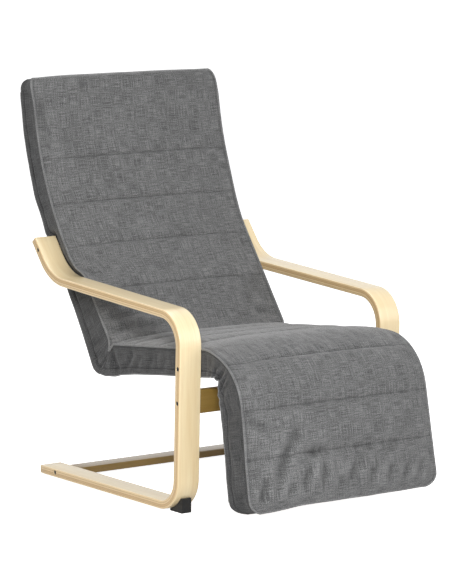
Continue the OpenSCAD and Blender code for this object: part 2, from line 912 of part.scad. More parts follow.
pad_low = rail_t / 2 + soft_gap;
seat_half_w = inner_x - arm_gap;
back_half_w = inner_x + back_wider;
foot_half_w = inner_x + foot_wider;
back_top = pad_low + pad_t;
hem_low = -rail_t / 2 - hem;
// The flaps hang deeper towards the crease between seat and back
back_drop_len = 540;
seat_drop_len = 300;
seat_drop_exponent = 6;
function back_hem_at(s) = hem_low
    - back_hem_drop * max(0, 1 - (s - corner_mid) / back_drop_len);
function seat_hem_at(s) = hem_low
    - seat_hem_drop * pow(max(0, 1 - (corner_mid - s) / seat_drop_len), seat_drop_exponent);
foot_pad_top = pad_low + foot_pad_depth;
foot_hem_low = -rail_t / 2 - foot_hem;

// The back widens above the upturned ends of the arms
upturn_tip_z = pose_at(strip_start, strip_legs, path_len(strip_legs))[1] + strip_t;
widen_len = 60;
function back_width(p) = seat_half_w
    + (back_half_w - seat_half_w) * ease((p[1] - upturn_tip_z) / widen_len);

seam_count = 4;
last_panel_share = 0.9;
back_body_end = rail_len + over;
crease_at = corner_mid + soft_gap;
back_seam_at = concat(
    [crease_at],
    [for (i = [0 : seam_count - 1]) crease_at + first_panel + seam_pitch * i]);
back_panels = concat(
    [for (i = [0 : seam_count - 1]) each [for (u = panel_shares)
        [back_seam_at[i] + (back_seam_at[i + 1] - back_seam_at[i]) * u, puff(u)]]],
    [for (u = panel_shares)
        if (u < last_panel_share)
            [back_seam_at[seam_count] + (back_body_end - back_seam_at[seam_count]) * u, puff(u / 2)]]);
back_stations = concat(
    [for (b = back_panels) let (p = pose_at(rail_start, rail_legs, b[0]))
        [p, back_width(p), back_top, crown - channel * (1 - b[1]), pad_low,
            back_hem_at(b[0])]],
    [let (p = pose_at(rail_start, rail_legs, back_body_end))
        [p, back_width(p), back_top, crown, pad_low, hem_low]],
    [for (e = end_shares) let (
            p = pose_at(rail_start, rail_legs, back_body_end + head_cap * e[0]),
            cut = e[1] * (back_top - hem_low))
        [p, back_width(p) - cut / 2, back_top - cut / 2, crown * (1 - e[1]),
            hem_low + cut / 2 + soft_gap, hem_low + cut / 2]]);

bolt_room = 2;
hole_round = spacer_d + 2 * bolt_room;

module bolt_gaps() {
    both_sides()
        for (place = [bolt_places[0], bolt_places[1]])
            rod(place[0], hole_round, rail_out_x - over, overall_w / 2);
}

module back_cushion() {
    color(cloth)
        placed()
            difference() {
                pad(back_stations);
                bolt_gaps();
            }
}

pocket_t = 4;

module head_pocket() {
    color(cloth)
        placed()
            slab(-flap_x + soft_gap, flap_x - soft_gap)
                polygon([
                    for (c = [
                        [rail_len - pocket_len, pocket_t], [rail_len - pocket_len / 2, pocket_t],
                        [rail_len, pocket_t], [rail_len, 0],
                        [rail_len - pocket_len / 2, 0], [rail_len - pocket_len, 0]
                    ])
                    lift(pose_at(rail_start, rail_legs, c[0]), hem_low + c[1])
                ]);
}

// The knee roll is barrel-shaped round the pivot. The seat pad's front lip lies over it, and the
// pad's top falls towards the knee.
roll_r = 38;
roll_crown = 12;
lip_len = 30;
lip_shares = [0, 0.3, 0.6, 0.98];
lip_drop = 17.7;
lip_drop_len = 84;
lip_drop_from = lip_drop_len - knee_ahead;
function lip_top(s) = back_top - lip_drop * pow(max(0, (lip_drop_from - s) / lip_drop_len), 2);
function lip_low(s) = let (r = roll_r + roll_crown + over) max(pad_low,
    -knee_drop + sqrt(r * r - min(pow(s + knee_ahead, 2), r * r)));
seat_end = corner_mid - soft_gap;
seat_panel_len = seat_end / seam_count;
seat_stations = concat(
    [for (u = lip_shares) let (s = -lip_len * (1 - u))
        [pose_at(rail_start, rail_legs, s), seat_half_w, lip_top(s), crown, lip_low(s),
            lip_low(s) - soft_gap]],
    [for (i = [0 : seam_count - 1]) each [for (u = panel_shares) let (s = seat_panel_len * (i + u))
        [pose_at(rail_start, rail_legs, s), seat_half_w, lip_top(s),
            crown - (i == 0 && u < 0.5 ? 0 : channel * (1 - puff(u))), pad_low,
            seat_hem_at(s)]]],
    [[pose_at(rail_start, rail_legs, seat_end), seat_half_w, back_top, crown - channel, pad_low,
        seat_hem_at(seat_end)]]);

module seat_cushion() {
    color(cloth)
        placed()
            difference() {
                pad(seat_stations);
                bolt_gaps();
            }
}

// The footrest pad: its closed lower end, channels, and a shoulder that falls towards the knee
shoulder_drop = 27.6;
shoulder_len = 85;
foot_path_end = foot_reach - soft_gap;
function foot_top_at(s) = foot_pad_top
    - shoulder_drop * pow(max(0, 1 - (foot_reach - s) / shoulder_len), 2);
foot_seam_at = [0, foot_reach - 2 * foot_seam_pitch + foot_ahead,
    foot_reach - foot_seam_pitch + foot_ahead];
foot_panels = concat(
    [for (i = [0, 1]) each [for (u = panel_shares)
        [foot_seam_at[i] + (foot_seam_at[i + 1] - foot_seam_at[i]) * u,
            i == 0 && u < 0.5 ? 1 : puff(u)]]],
    [for (u = panel_shares) [foot_seam_at[2] + (foot_path_end - foot_seam_at[2]) * u,
        puff(u < 0.5 ? u : 0.5)]],
    [[foot_path_end, 1]]);
function foot_ring(s, cut, solid) = let (
        p = pose_at(foot_start, [[foot_reach, 0]], s),
        c = cut * (foot_pad_top - foot_hem_low))
    [p, foot_half_w - c / 2, foot_top_at(s) - c / 2, crown * (1 - cut),
        solid ? foot_hem_low + c / 2 + soft_gap : pad_low, foot_hem_low + c / 2];
foot_stations = concat(
    [for (k = [len(end_shares) - 1 : -1 : 0])
        foot_ring(-over - toe_cap * end_shares[k][0], end_shares[k][1], true)],
    [for (f = foot_panels) let (s = foot_ring(f[0], 0, false))
        [s[0], s[1], s[2], crown - channel * (1 - f[1]), s[4], s[5]]]);
knee_block_t = foot_ahead + foot_pad_depth / 3;
// The roll is whole between the hinges, and outside them only the sector that shows
roll_in_x = inner_leaf_x - rivet_head_t - over;
roll_out_x = rail_in_x + rivet_head_t + over;
roll_from_angle = 59;
roll_to_angle = foot_heading + 90;
roll_reach = 3 * roll_r;
roll_apex = pivot - over * unit(foot_heading);

module knee_barrel() {
    translate([0, pivot[0], pivot[1]])
        rotate([0, 90, 0])
            rotate_extrude($fn = round_fn)
                polygon(concat(
                    [[0, -foot_half_w]],
                    [
                        for (u = across_shares)
                        [roll_r + roll_crown * (1 - pow(abs(u), crown_exponent)), u * foot_half_w]
                    ],
                    [[0, foot_half_w]]));
}

module knee_roll() {
    difference() {
        knee_barrel();
        both_sides() {
            slab(roll_in_x, roll_out_x)
                translate([pivot[0] - roll_reach, pivot[1] - roll_reach])
                    square(2 * roll_reach);
            slab(roll_out_x - over, foot_half_w + over)
                polygon([
                    for (r = [
                        [0, 0],
                        [roll_reach, roll_to_angle],
                        [roll_reach, roll_to_angle + 90],
                        [roll_reach, roll_from_angle - 90],
                        [roll_reach, roll_from_angle]
                    ])
                    roll_apex + r[0] * unit(r[1])
                ]);
        }
    }
}

module footrest_cushion() {
    color(cloth)
        placed()
            union() {
                pad(foot_stations);
                knee_roll();
                at_pose([pivot[0], pivot[1], foot_heading])
                    translate([-roll_in_x, -foot_top, 0])
                        cube([2 * roll_in_x, foot_top - soft_gap, knee_block_t]);
            }
}

side_frame(-1);  // side_frame_right
side_frame(1);  // side_frame_left
crossbar(rear_bar_pose, rear_bar_w, bolt_places[3]);  // rear_crossbar
crossbar(front_bar_pose, front_bar_h, bolt_places[2]);  // front_crossbar
back_crossbar();
seat_back_rail(-1);  // seat_back_rail_right
seat_back_rail(1);  // seat_back_rail_left
slat(slat_places[0]);  // head_rail
slat(slat_places[1]);  // seat_front_rail
for (i = [1 : back_slat_count])
    slat(slat_places[i + 1]);
for (i = [1 : seat_slat_count])
    slat(slat_places[i + 1 + back_slat_count]);
slat_dowels();
crossbar_dowels();
bolt_pair(bolt_places[0]);  // seat_bolts
bolt_pair(bolt_places[1]);  // upturn_bolts
bolt_pair(bolt_places[2]);  // front_crossbar_bolts
bolt_pair(bolt_places[3]);  // rear_crossbar_bolts
barrel_nuts();
bolt_spacers();
back_crossbar_screws();
front_foot(-1);  // front_foot_right
front_foot(1);  // front_foot_left
front_foot_screws();
rear_pads();
hinge_bracket(-1);  // hinge_bracket_right
hinge_bracket(1);  // hinge_bracket_left
hinge_bracket_screws();
hinge_pins();
pawl_pins();
pawl(-1);  // pawl_right
pawl(1);  // pawl_left
hinge_leaf(-1);  // hinge_leaf_right
hinge_leaf(1);  // hinge_leaf_left
hinge_leaf_screws();
footrest_rail(-1);  // footrest_rail_right
footrest_rail(1);  // footrest_rail_left
foot_slat(foot_places[0]);  // footrest_end_rail
for (i = [1 : 2])
    foot_slat(foot_places[i]);
footrest_dowels();
back_cushion();
head_pocket();
seat_cushion();
footrest_cushion();
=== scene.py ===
"""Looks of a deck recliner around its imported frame: wood, padded cover, hardware and light.

Lengths of the object's own sections are in millimetres, and become metres where meshes are made.
X runs across the chair, the sitter faces -Y, and the floor is at Z = 0.
"""

import json
from math import ceil, copysign, cos, degrees, dist, exp, hypot, pi, radians, sin, sqrt

import bpy
import numpy as np
from mathutils import Matrix, Vector, noise as noise3
from mathutils.bvhtree import BVHTree


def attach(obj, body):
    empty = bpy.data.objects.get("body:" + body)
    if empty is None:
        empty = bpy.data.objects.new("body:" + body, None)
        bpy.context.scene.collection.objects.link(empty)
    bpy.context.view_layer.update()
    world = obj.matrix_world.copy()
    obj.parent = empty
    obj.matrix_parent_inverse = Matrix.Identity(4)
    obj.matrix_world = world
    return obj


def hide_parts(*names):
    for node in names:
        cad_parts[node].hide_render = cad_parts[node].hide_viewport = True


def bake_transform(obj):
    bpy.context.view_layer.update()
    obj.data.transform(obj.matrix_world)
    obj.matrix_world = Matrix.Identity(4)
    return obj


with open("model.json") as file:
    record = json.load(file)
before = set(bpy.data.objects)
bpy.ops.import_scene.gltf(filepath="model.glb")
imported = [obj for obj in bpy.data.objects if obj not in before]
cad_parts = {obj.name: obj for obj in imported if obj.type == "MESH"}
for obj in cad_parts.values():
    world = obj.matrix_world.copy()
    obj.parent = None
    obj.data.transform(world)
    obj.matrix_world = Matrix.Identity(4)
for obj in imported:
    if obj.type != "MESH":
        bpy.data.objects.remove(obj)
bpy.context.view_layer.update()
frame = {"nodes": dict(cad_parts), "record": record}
MM = 0.001

# ---------------------------------------------------------------- paths
# A path starts at (y, z, heading). Its legs are straights (length, 0) and bends (radius, turn).
STRIP_START = (357.314, 13.5, 180.0)
STRIP_LEGS = [(540, 0), (70.5, -88.1), (324, 0), (75.5, -88.9), (440, 0), (130.5, 48), (62, 0)]
RAIL_START = (-298.087, 360.087, -5.7)
RAIL_LEGS = [(404.093, 0), (70, 59.1), (274, 0), (790, 30), (20, 0)]
FOOT_START = (-439.579, 63.954, 77.5)
FOOT_LEGS = [(300, 0)]
PIVOT = np.array([-355.121, 352.514])
INNER_X, OUTER_X = 272.5, 335.0
RAIL_IN_X, RAIL_OUT_X = 217.0, 262.0
FOOT_IN_X, FOOT_OUT_X = 214.7, 259.7
STRIP_THICK, BOARD_THICK, SLAT_THICK = 21.0, 18.0, 12.0
SIDES = ((-1, "right"), (1, "left"))


def leg_len(leg):
    return leg[0] * radians(abs(leg[1])) if leg[1] else leg[0]


def path_len(legs):
    return sum(leg_len(leg) for leg in legs)


def pose_at(start, legs, d):
    """(y, z, heading) at distance d along a path."""
    y, z, h = start
    for i, leg in enumerate(legs):
        run = leg_len(leg)
        part = d if i == len(legs) - 1 else min(d, run)
        a = radians(h)
        if leg[1] == 0:
            y, z = y + part * cos(a), z + part * sin(a)
        else:
            side = copysign(1, leg[1])
            b = a + side * part / leg[0]
            y += leg[0] * side * (sin(b) - sin(a))
            z -= leg[0] * side * (cos(b) - cos(a))
            h = degrees(b)
        d -= run
        if d <= 0:
            break
    return y, z, h


def lift(p, n):
    """The (y, z) at a height n above a pose."""
    a = radians(p[2])
    return np.array([p[0] - n * sin(a), p[1] + n * cos(a)])


def strip_pose(d):
    return pose_at(STRIP_START, STRIP_LEGS, d)


def rail_pose(d):
    return pose_at(RAIL_START, RAIL_LEGS, d)


def foot_pose(d):
    return pose_at(FOOT_START, FOOT_LEGS, d)


def on_strip(d, n=0.0):
    return lift(strip_pose(d), n)


def on_rail(d, n=0.0):
    return lift(rail_pose(d), n)


def on_foot(d, n=0.0):
    return lift(foot_pose(d), n)


def ease(u):
    v = np.clip(u, 0, 1)
    return v * v * (3 - 2 * v)


def bell(x, width):
    return exp(-(x / width) ** 2)


def run_of(points):
    """Distances of a line's points along it."""
    steps = np.linalg.norm(np.diff(np.asarray(points, float), axis=0), axis=1)
    return np.concatenate([[0], np.cumsum(steps)])


# ---------------------------------------------------------------- meshes
def make_mesh(name, verts, faces, mats, smooth=True):
    """An object from points in millimetres, with one material or a list of them."""
    mesh = bpy.data.meshes.new(name)
    mesh.from_pydata([tuple(v) for v in np.asarray(verts, float) * MM], [], faces)
    mesh.validate()
    mesh.update()
    mesh.polygons.foreach_set("use_smooth", [smooth] * len(mesh.polygons))
    obj = bpy.data.objects.new(name, mesh)
    bpy.context.scene.collection.objects.link(obj)
    for m in mats if isinstance(mats, list) else [mats]:
        mesh.materials.append(m)
    return obj


def set_vectors(obj, name, values):
    attribute = obj.data.attributes.new(name, "FLOAT_VECTOR", "POINT")
    attribute.data.foreach_set("vector", np.asarray(values, np.float32).ravel())


def coords(obj):
    co = np.zeros(len(obj.data.vertices) * 3)
    obj.data.vertices.foreach_get("co", co)
    return co.reshape(-1, 3)


def set_coords(obj, co):
    obj.data.vertices.foreach_set("co", np.asarray(co, np.float32).ravel())
    obj.data.update()


def applied(obj):
    """Puts what the modifiers make into the mesh and removes them."""
    dg = bpy.context.evaluated_depsgraph_get()
    mesh = bpy.data.meshes.new_from_object(obj.evaluated_get(dg), preserve_all_data_layers=True,
                                           depsgraph=dg)
    obj.modifiers.clear()
    old, obj.data = obj.data, mesh
    bpy.data.meshes.remove(old)
    return obj


def modify(obj, kind, **values):
    m = obj.modifiers.new(kind.title(), kind)
    for k, v in values.items():
        setattr(m, k, v)
    return applied(obj)


def rounded_section(half_a, half_b, r, steps=4):
    """A rounded rectangle, counter-clockwise, as (a, b) pairs."""
    out = []
    for ca, cb, a0 in ((1, 1, 0), (-1, 1, 90), (-1, -1, 180), (1, -1, 270)):
        for k in range(steps + 1):
            t = radians(a0 + 90 * k / steps)
            out.append((ca * (half_a - r) + r * cos(t), cb * (half_b - r) + r * sin(t)))
    return out


def path_steps(legs, turn, straight=30.0):
    """Distances along a path: one for each turn in degrees, or straight in millimetres."""
    out, d = [0.0], 0.0
    for leg in legs:
        run = leg_len(leg)
        n = max(1, ceil(abs(leg[1]) / turn if leg[1] else run / straight))
        out += [d + run * (k + 1) / n for k in range(n)]
        d += run
    return out


def unit(v):
    return v / max(np.linalg.norm(v), 1e-9)


def turns(n):
    return 2 * pi * np.arange(n) / n


def circle(at, side, up, r, n):
    """Points around a place, in the plane of two directions."""
    return [at + r * (side * cos(a) + up * sin(a)) for a in turns(n)]


def loft_faces(rows, n, base=0):
    """Faces between rows of n points that close around, and of the two ends."""
    def at(i, k):
        return base + i * n + k % n

    faces = [(at(i, k), at(i, k + 1), at(i + 1, k + 1), at(i + 1, k))
             for i in range(rows - 1) for k in range(n)]
    return faces + [tuple(at(0, k) for k in range(n - 1, -1, -1)),
                    tuple(at(rows - 1, k) for k in range(n))]


def board(name, rows, half_wide, thick, r, at, mat):
    """A board with rounded edges from rows of (distance, inset); at places a section's points."""
    verts = []
    for d, inset in rows:
        section = rounded_section(half_wide - inset, thick / 2 - inset, max(r - inset, 0.2))
        verts += [at(d, a, b) for a, b in section]
    return make_mesh(name, verts, loft_faces(len(rows), len(section)), mat)


def swept_board(name, place, legs, side, inner, outer, thick, r, mat, turn=1.5):
    """A board from one X to another on its side of the chair, bent along a path."""
    total, mid = path_len(legs), side * (inner + outer) / 2
    ends = [(0, r), (0.3 * r, 0.3 * r), (r, 0)]
    rows = ends + [(s, 0) for s in path_steps(legs, turn) if r < s < total - r]
    rows += [(total - d, i) for d, i in reversed(ends)]
    return board(name, rows, (outer - inner) / 2, thick, r,
                 lambda d, a, b: (mid + a, *place(d, b)), mat)


def straight_board(name, x_half, pose, along, thick, r, mat, pieces=12):
    """A board along X whose middle is at a pose, along wide and thick deep."""
    y, z, h = pose
    c, s = cos(radians(h)), sin(radians(h))
    rows = [(-x_half, r), (-x_half + 0.3 * r, 0.3 * r), (-x_half + r, 0)]
    rows += [(-x_half + r + (2 * x_half - 2 * r) * k / pieces, 0) for k in range(1, pieces)]
    rows += [(-x, i) for x, i in reversed(rows[:3])]
    return board(name, rows, along / 2, thick, r,
                 lambda x, a, b: (x, y + a * c - b * s, z + a * s + b * c), mat)


def swept_grain(place, legs):
    """Maps points to their distance along a bent board, their X and their depth in it."""
    at = np.arange(0, path_len(legs) + 1, 2.0)
    mid = np.array([place(d, 0) for d in at])
    up = np.array([place(d, 1) for d in at]) - mid

    def mapped(points):
        near = np.argmin(np.linalg.norm(points[:, None, 1:] - mid[None], axis=2), axis=1)
        off = points[:, 1:] - mid[near]
        ahead = off[:, 0] * up[near, 1] - off[:, 1] * up[near, 0]
        return np.stack([at[near] + ahead, points[:, 0], (off * up[near]).sum(1)], 1)
    return mapped


def straight_grain(pose):
    """Maps points to their X, their place across a straight board and their depth in it."""
    y0, z0, h = pose
    a = radians(h)

    def mapped(points):
        y, z = points[:, 1] - y0, points[:, 2] - z0
        across = y * cos(a) + z * sin(a)
        return np.stack([points[:, 0], across, z * cos(a) - y * sin(a)], 1)
    return mapped


def cut_rods(obj, rods, seg=32):
    """Cuts round holes: rods are (start, end, diameter) in millimetres."""
    verts, faces = [], []
    for start, end, d in rods:
        a, b = np.array(start, float), np.array(end, float)
        axis = unit(b - a)
        side = unit(np.cross(axis, (0, 0, 1.0) if abs(axis[2]) < 0.9 else (1.0, 0, 0)))
        up = np.cross(axis, side)
        faces += loft_faces(2, seg, len(verts))
        verts += circle(a, side, up, d / 2, seg) + circle(b, side, up, d / 2, seg)
    cutter = make_mesh(obj.name + "_cutter", verts, faces, [])
    modify(obj, "BOOLEAN", operation="DIFFERENCE", object=cutter, solver="EXACT")
    bpy.data.objects.remove(cutter)


def smooth_faces(obj):
    obj.data.polygons.foreach_set("use_smooth", [True] * len(obj.data.polygons))


def crisp(obj, angle=35.0):
    """Smooth faces with sharp edges where the surface turns by more than an angle."""
    smooth_faces(obj)
    obj.data.set_sharp_from_angle(angle=radians(angle))


# ---------------------------------------------------------------- materials
def material(name, roughness, color=(0.5, 0.5, 0.5), **sockets):
    """A new material, its node tree and its shader."""
    m = bpy.data.materials.new(name)
    m.use_nodes = True
    b = m.node_tree.nodes["Principled BSDF"]
    b.inputs["Roughness"].default_value = roughness
    b.inputs["Base Color"].default_value = (*color, 1)
    for k, v in sockets.items():
        b.inputs[k.replace("_", " ")].default_value = v
    return m, m.node_tree, b


def node(tree, kind, inputs=(), **values):
    n = tree.nodes.new(kind)
    for k, v in values.items():
        setattr(n, k, v)
    for k, v in dict(inputs).items():
        if isinstance(v, bpy.types.NodeSocket):
            tree.links.new(v, n.inputs[k])
        else:
            n.inputs[k].default_value = v
    return n


def attribute(tree, name, output="Vector"):
    return node(tree, "ShaderNodeAttribute", attribute_name=name).outputs[output]


def noise(tree, vector, scale=1.0, detail=3.0, roughness=0.5):
    return node(tree, "ShaderNodeTexNoise", {"Vector": vector, "Scale": scale, "Detail": detail,
                                             "Roughness": roughness}).outputs["Fac"]


def stretched(tree, vector, scale, detail, roughness=0.5, location=(0, 0, 0)):
    """Noise with a scale of its own along each axis, in cells per metre."""
    at = node(tree, "ShaderNodeMapping", {"Vector": vector, "Scale": scale, "Location": location})
    return noise(tree, at.outputs[0], 1.0, detail, roughness)


def ramp(tree, fac, stops):
    n = node(tree, "ShaderNodeValToRGB", {"Fac": fac})
    elements = n.color_ramp.elements
    while len(elements) < len(stops):
        elements.new(0.5)
    for e, (at, color) in zip(elements, stops):
        e.position, e.color = at, (*color, 1)
    return n.outputs["Color"]


def maths(tree, op, a, b=0.0):
    return node(tree, "ShaderNodeMath", {0: a, 1: b}, operation=op).outputs[0]


def mul(tree, a, b):
    return maths(tree, "MULTIPLY", a, b)


def add(tree, a, b):
    return maths(tree, "ADD", a, b)


def mix(tree, fac, a, b, blend="MIX"):
    n = tree.nodes.new("ShaderNodeMix")
    n.data_type, n.blend_type = "RGBA", blend
    for socket, v in ((n.inputs[0], fac), (n.inputs[6], a), (n.inputs[7], b)):
        if isinstance(v, bpy.types.NodeSocket):
            tree.links.new(v, socket)
        else:
            socket.default_value = v if isinstance(v, float) else (*v, 1)
    return n.outputs[2]


def span(tree, value, lo, hi, a=0.0, b=1.0):
    """Maps lo to a and hi to b, and stays between them."""
    return node(tree, "ShaderNodeMapRange", {0: value, 1: lo, 2: hi, 3: a, 4: b}).outputs[0]


def bump(tree, shader, height, strength, distance):
    n = node(tree, "ShaderNodeBump", {"Height": height, "Strength": strength, "Distance": distance})
    tree.links.new(n.outputs["Normal"], shader.inputs["Normal"])


def fabric(name, dark, mid, light, sheen=0.25):
    """A melange linen weave: slubs that run both ways, a fine thread grid and a slow mottle.

    An attribute from the wrinkles paints shade into folds and seams and a painted highlight onto
    ridges.
    """
    m, t, b = material(name, 0.92, Sheen_Weight=sheen, Sheen_Roughness=0.5, Specular_IOR_Level=0.2)
    uv = attribute(t, "weave")
    warp = stretched(t, uv, (24, 640, 1), 1.0)
    weft = stretched(t, uv, (640, 30, 1), 1.0, location=(3, 7, 2))
    fine = stretched(t, uv, (620, 620, 1), 1.0, location=(1, 2, 5))
    slow = stretched(t, uv, (14, 14, 1), 2.0, location=(9, 4, 1))
    slubs = mul(t, add(t, warp, weft), 0.5)
    threads = mul(t, add(t, slubs, fine), 0.5)
    mottled = add(t, mul(t, threads, 0.95), mul(t, slow, 0.05))
    color = ramp(t, mottled, [(0.41, dark), (0.5, mid), (0.59, light)])
    # Painted shade and painted highlight: the wrinkles' attribute scales the linen's colour from
    # 0.45 to 1.55
    shade = span(t, attribute(t, "painted_shading", "Fac"), -1.0, 1.0, 0.45, 1.55)
    t.links.new(mix(t, 1.0, color, shade, "MULTIPLY"), b.inputs["Base Color"])
    parts = node(t, "ShaderNodeSeparateXYZ", {0: uv})
    waves = [maths(t, "SINE", mul(t, parts.outputs[c], GRID_WAVES)) for c in (0, 1)]
    grid = mul(t, *waves)
    height = add(t, mul(t, grid, 0.3), threads)
    bump(t, b, height, 0.35, 0.0012)
    return m


def wood(name, pale, deep, streak, edge_pale, edge_deep, roughness=0.42, ply=0.0015):
    """Lacquered birch: grain along the board, and the plies' lines on its two narrow sides."""
    m, t, b = material(name, roughness, Coat_Weight=0.7, Coat_Roughness=0.2)
    uv = attribute(t, "grain")
    depth = node(t, "ShaderNodeSeparateXYZ", {0: uv}).outputs[2]
    wander = stretched(t, uv, (5, 18, 18), 2.0)
    fibre = stretched(t, uv, (9, 420, 420), 4.0, 0.6)
    flame = stretched(t, uv, (3.5, 46, 46), 3.0, 0.55, (2, 5, 1))
    pore = stretched(t, uv, (60, 1500, 1500), 2.0, 0.5, (4, 1, 7))
    face = mix(t, span(t, flame, 0.35, 0.68), pale, deep)
    face = mix(t, span(t, fibre, 0.5, 0.78, 0.0, 0.5), face, streak)
    face = mix(t, span(t, wander, 0.4, 0.7, 0.0, 0.22), face, deep)
    layer = maths(t, "DIVIDE", add(t, depth, mul(t, wander, 0.0006)), ply)
    which = node(t, "ShaderNodeTexWhiteNoise", {"W": maths(t, "FLOOR", layer)},
                 noise_dimensions="1D")
    cross = stretched(t, uv, (700, 30, 260), 3.0, 0.6, (6, 3, 2))
    edge = mix(t, which.outputs["Value"], edge_pale, edge_deep)
    edge = mix(t, span(t, cross, 0.4, 0.75, 0.0, 0.35), edge, edge_deep)
    glue = span(t, maths(t, "FRACT", layer), 0.0, 0.26, 0.95, 0.0)
    edge = mix(t, glue, edge, tuple(0.55 * c for c in edge_deep))
    true_normal = node(t, "ShaderNodeNewGeometry").outputs["True Normal"]
    sideways = maths(t, "ABSOLUTE", node(t, "ShaderNodeSeparateXYZ", {0: true_normal}).outputs[0])
    color = mix(t, span(t, sideways, 0.55, 0.8), face, edge)
    t.links.new(color, b.inputs["Base Color"])
    rough = span(t, fibre, 0.3, 0.8, roughness - 0.05, roughness + 0.12)
    t.links.new(rough, b.inputs["Roughness"])
    bump(t, b, add(t, fibre, mul(t, pore, 0.5)), 0.12, 0.0006)
    return m


def plain(name, low, high, roughness, scale=90.0, grain=0.15, distance=0.0004, **sockets):
    """Metal, moulded plastic or felt: a fine mottle in colour, roughness and bump."""
    m, t, b = material(name, roughness, **sockets)
    at = node(t, "ShaderNodeTexCoord").outputs["Object"]
    mottle = noise(t, at, scale, 4.0, 0.6)
    t.links.new(mix(t, span(t, mottle, 0.3, 0.7), low, high), b.inputs["Base Color"])
    rough = span(t, noise(t, at, scale * 3, 3.0), 0.3, 0.7, roughness - 0.06, roughness + 0.1)
    t.links.new(rough, b.inputs["Roughness"])
    bump(t, b, noise(t, at, scale * 8, 2.0), grain, distance)
    return m


GRID_WAVES = 3300.0  # radians per metre of the fine thread grid
FABRIC = fabric("grey_linen", (0.042, 0.0425, 0.043), (0.113, 0.1135, 0.114), (0.232, 0.232, 0.233))
# The sides' linen: the same cloth as the top's, made darker and with less sheen as painted shade
SIDE_LINEN_PAINTED_SHADE = fabric("grey_linen_side_painted_shade", (0.020, 0.0202, 0.0205), (0.051, 0.0512, 0.052),
                (0.106, 0.106, 0.107), 0.12)
PIPING = fabric("grey_linen_piping", (0.075, 0.076, 0.077), (0.155, 0.156, 0.157),
                (0.27, 0.27, 0.27))
# Dark thread: partly the real thread's colour, partly painted shade standing in for the seams'
# grooves
THREAD_WITH_SEAM_SHADE = fabric("grey_thread_with_seam_shade", (0.04, 0.04, 0.042), (0.065, 0.065, 0.067), (0.1, 0.1, 0.1))
LINING = fabric("black_lining", (0.008, 0.008, 0.009), (0.016, 0.016, 0.017),
                (0.032, 0.032, 0.033), 0.1)
STRIP_WOOD = wood("birch_strip", (0.84, 0.71, 0.46), (0.77, 0.61, 0.36), (0.68, 0.50, 0.27),
                  (0.76, 0.58, 0.33), (0.44, 0.26, 0.10), ply=0.0052)
BAR_WOOD = wood("birch_crossbar", (0.21, 0.132, 0.030), (0.17, 0.102, 0.020), (0.13, 0.075, 0.012),
                (0.26, 0.165, 0.05), (0.18, 0.10, 0.028), 0.45)
PLY_WOOD = wood("birch_ply", (0.70, 0.55, 0.35), (0.58, 0.42, 0.24), (0.50, 0.35, 0.19),
                (0.56, 0.39, 0.21), (0.38, 0.24, 0.11), 0.5)
STEEL = plain("zinc_steel", (0.50, 0.50, 0.52), (0.66, 0.66, 0.67), 0.36, Metallic=1.0)
DARK_STEEL = plain("dark_screws", (0.06, 0.06, 0.063), (0.13, 0.13, 0.134), 0.3, Metallic=0.9)
RUBBER = plain("black_foot", (0.006, 0.006, 0.006), (0.014, 0.014, 0.0145), 0.6, 160.0, 0.3)
FELT = plain("felt_pad", (0.04, 0.037, 0.034), (0.09, 0.083, 0.075), 0.95, 420.0, 0.7, 0.001)
BY_SLOT = {"birch_strip": STRIP_WOOD, "birch_crossbar": BAR_WOOD, "birch_ply": PLY_WOOD,
           "dark_screws": DARK_STEEL, "zinc_steel": STEEL, "black_foot": RUBBER, "felt_pad": FELT,
           "grey_fabric": FABRIC, "lining_fabric": LINING}

# A CAD node keeps its shape: it gets its material and a grain direction
for part in frame["record"]["subparts"]:
    cad = frame["nodes"][part["node"]]
    cad.data.materials.clear()
    cad.data.materials.append(BY_SLOT[part["material_slot"]])
    set_vectors(cad, "grain", coords(cad))
    smooth_faces(cad)
    cad.data.update()


# ---------------------------------------------------------------- camera, light, floor
CAMERA_AT, CAMERA_TURN = (-4.72755, -6.615, 1.66334), (-0.620, 0.144)
FOCAL_PIXELS, PHOTO_HEIGHT = 3271.7, 584
LOOKED_AT = Vector((0, 0, 0.5))
FLOOR_HALF = 60000
WORLD_LIGHT, FLOOR_GLOW = 0.22, 0.95


def look(a, e):
    """The turn of a camera that looks from azimuth a and elevation e, in radians."""
    back = Vector((sin(a) * cos(e), -cos(a) * cos(e), sin(e)))
    right = Vector((cos(a), sin(a), 0))
    up = back.cross(right)
    return Matrix((right, up, back)).transposed().to_4x4()


camera_data = bpy.data.cameras.new("camera")
camera_data.sensor_width = 36
camera_data.lens = FOCAL_PIXELS * camera_data.sensor_width / PHOTO_HEIGHT
camera = bpy.data.objects.new("camera", camera_data)
camera.matrix_world = Matrix.Translation(CAMERA_AT) @ look(*CAMERA_TURN)
bpy.context.scene.collection.objects.link(camera)
bpy.context.scene.camera = camera


def area_light(name, at, size, power):
    data = bpy.data.lights.new(name, "AREA")
    data.shape, data.size, data.energy = "SQUARE", size, power
    lamp = bpy.data.objects.new(name, data)
    lamp.location = at
    lamp.rotation_mode = "QUATERNION"
    lamp.rotation_quaternion = (Vector(at) - LOOKED_AT).to_track_quat("Z", "Y")
    bpy.context.scene.collection.objects.link(lamp)


area_light("key", (-2.7, -3.5, 2.3), 1.3, 205)
area_light("fill", (2.6, -3.4, 2.0), 2.4, 34)
area_light("top", (0.3, 0.9, 4.0), 2.6, 54)
area_light("rear", (-1.5, 4.0, 2.6), 2.4, 30)

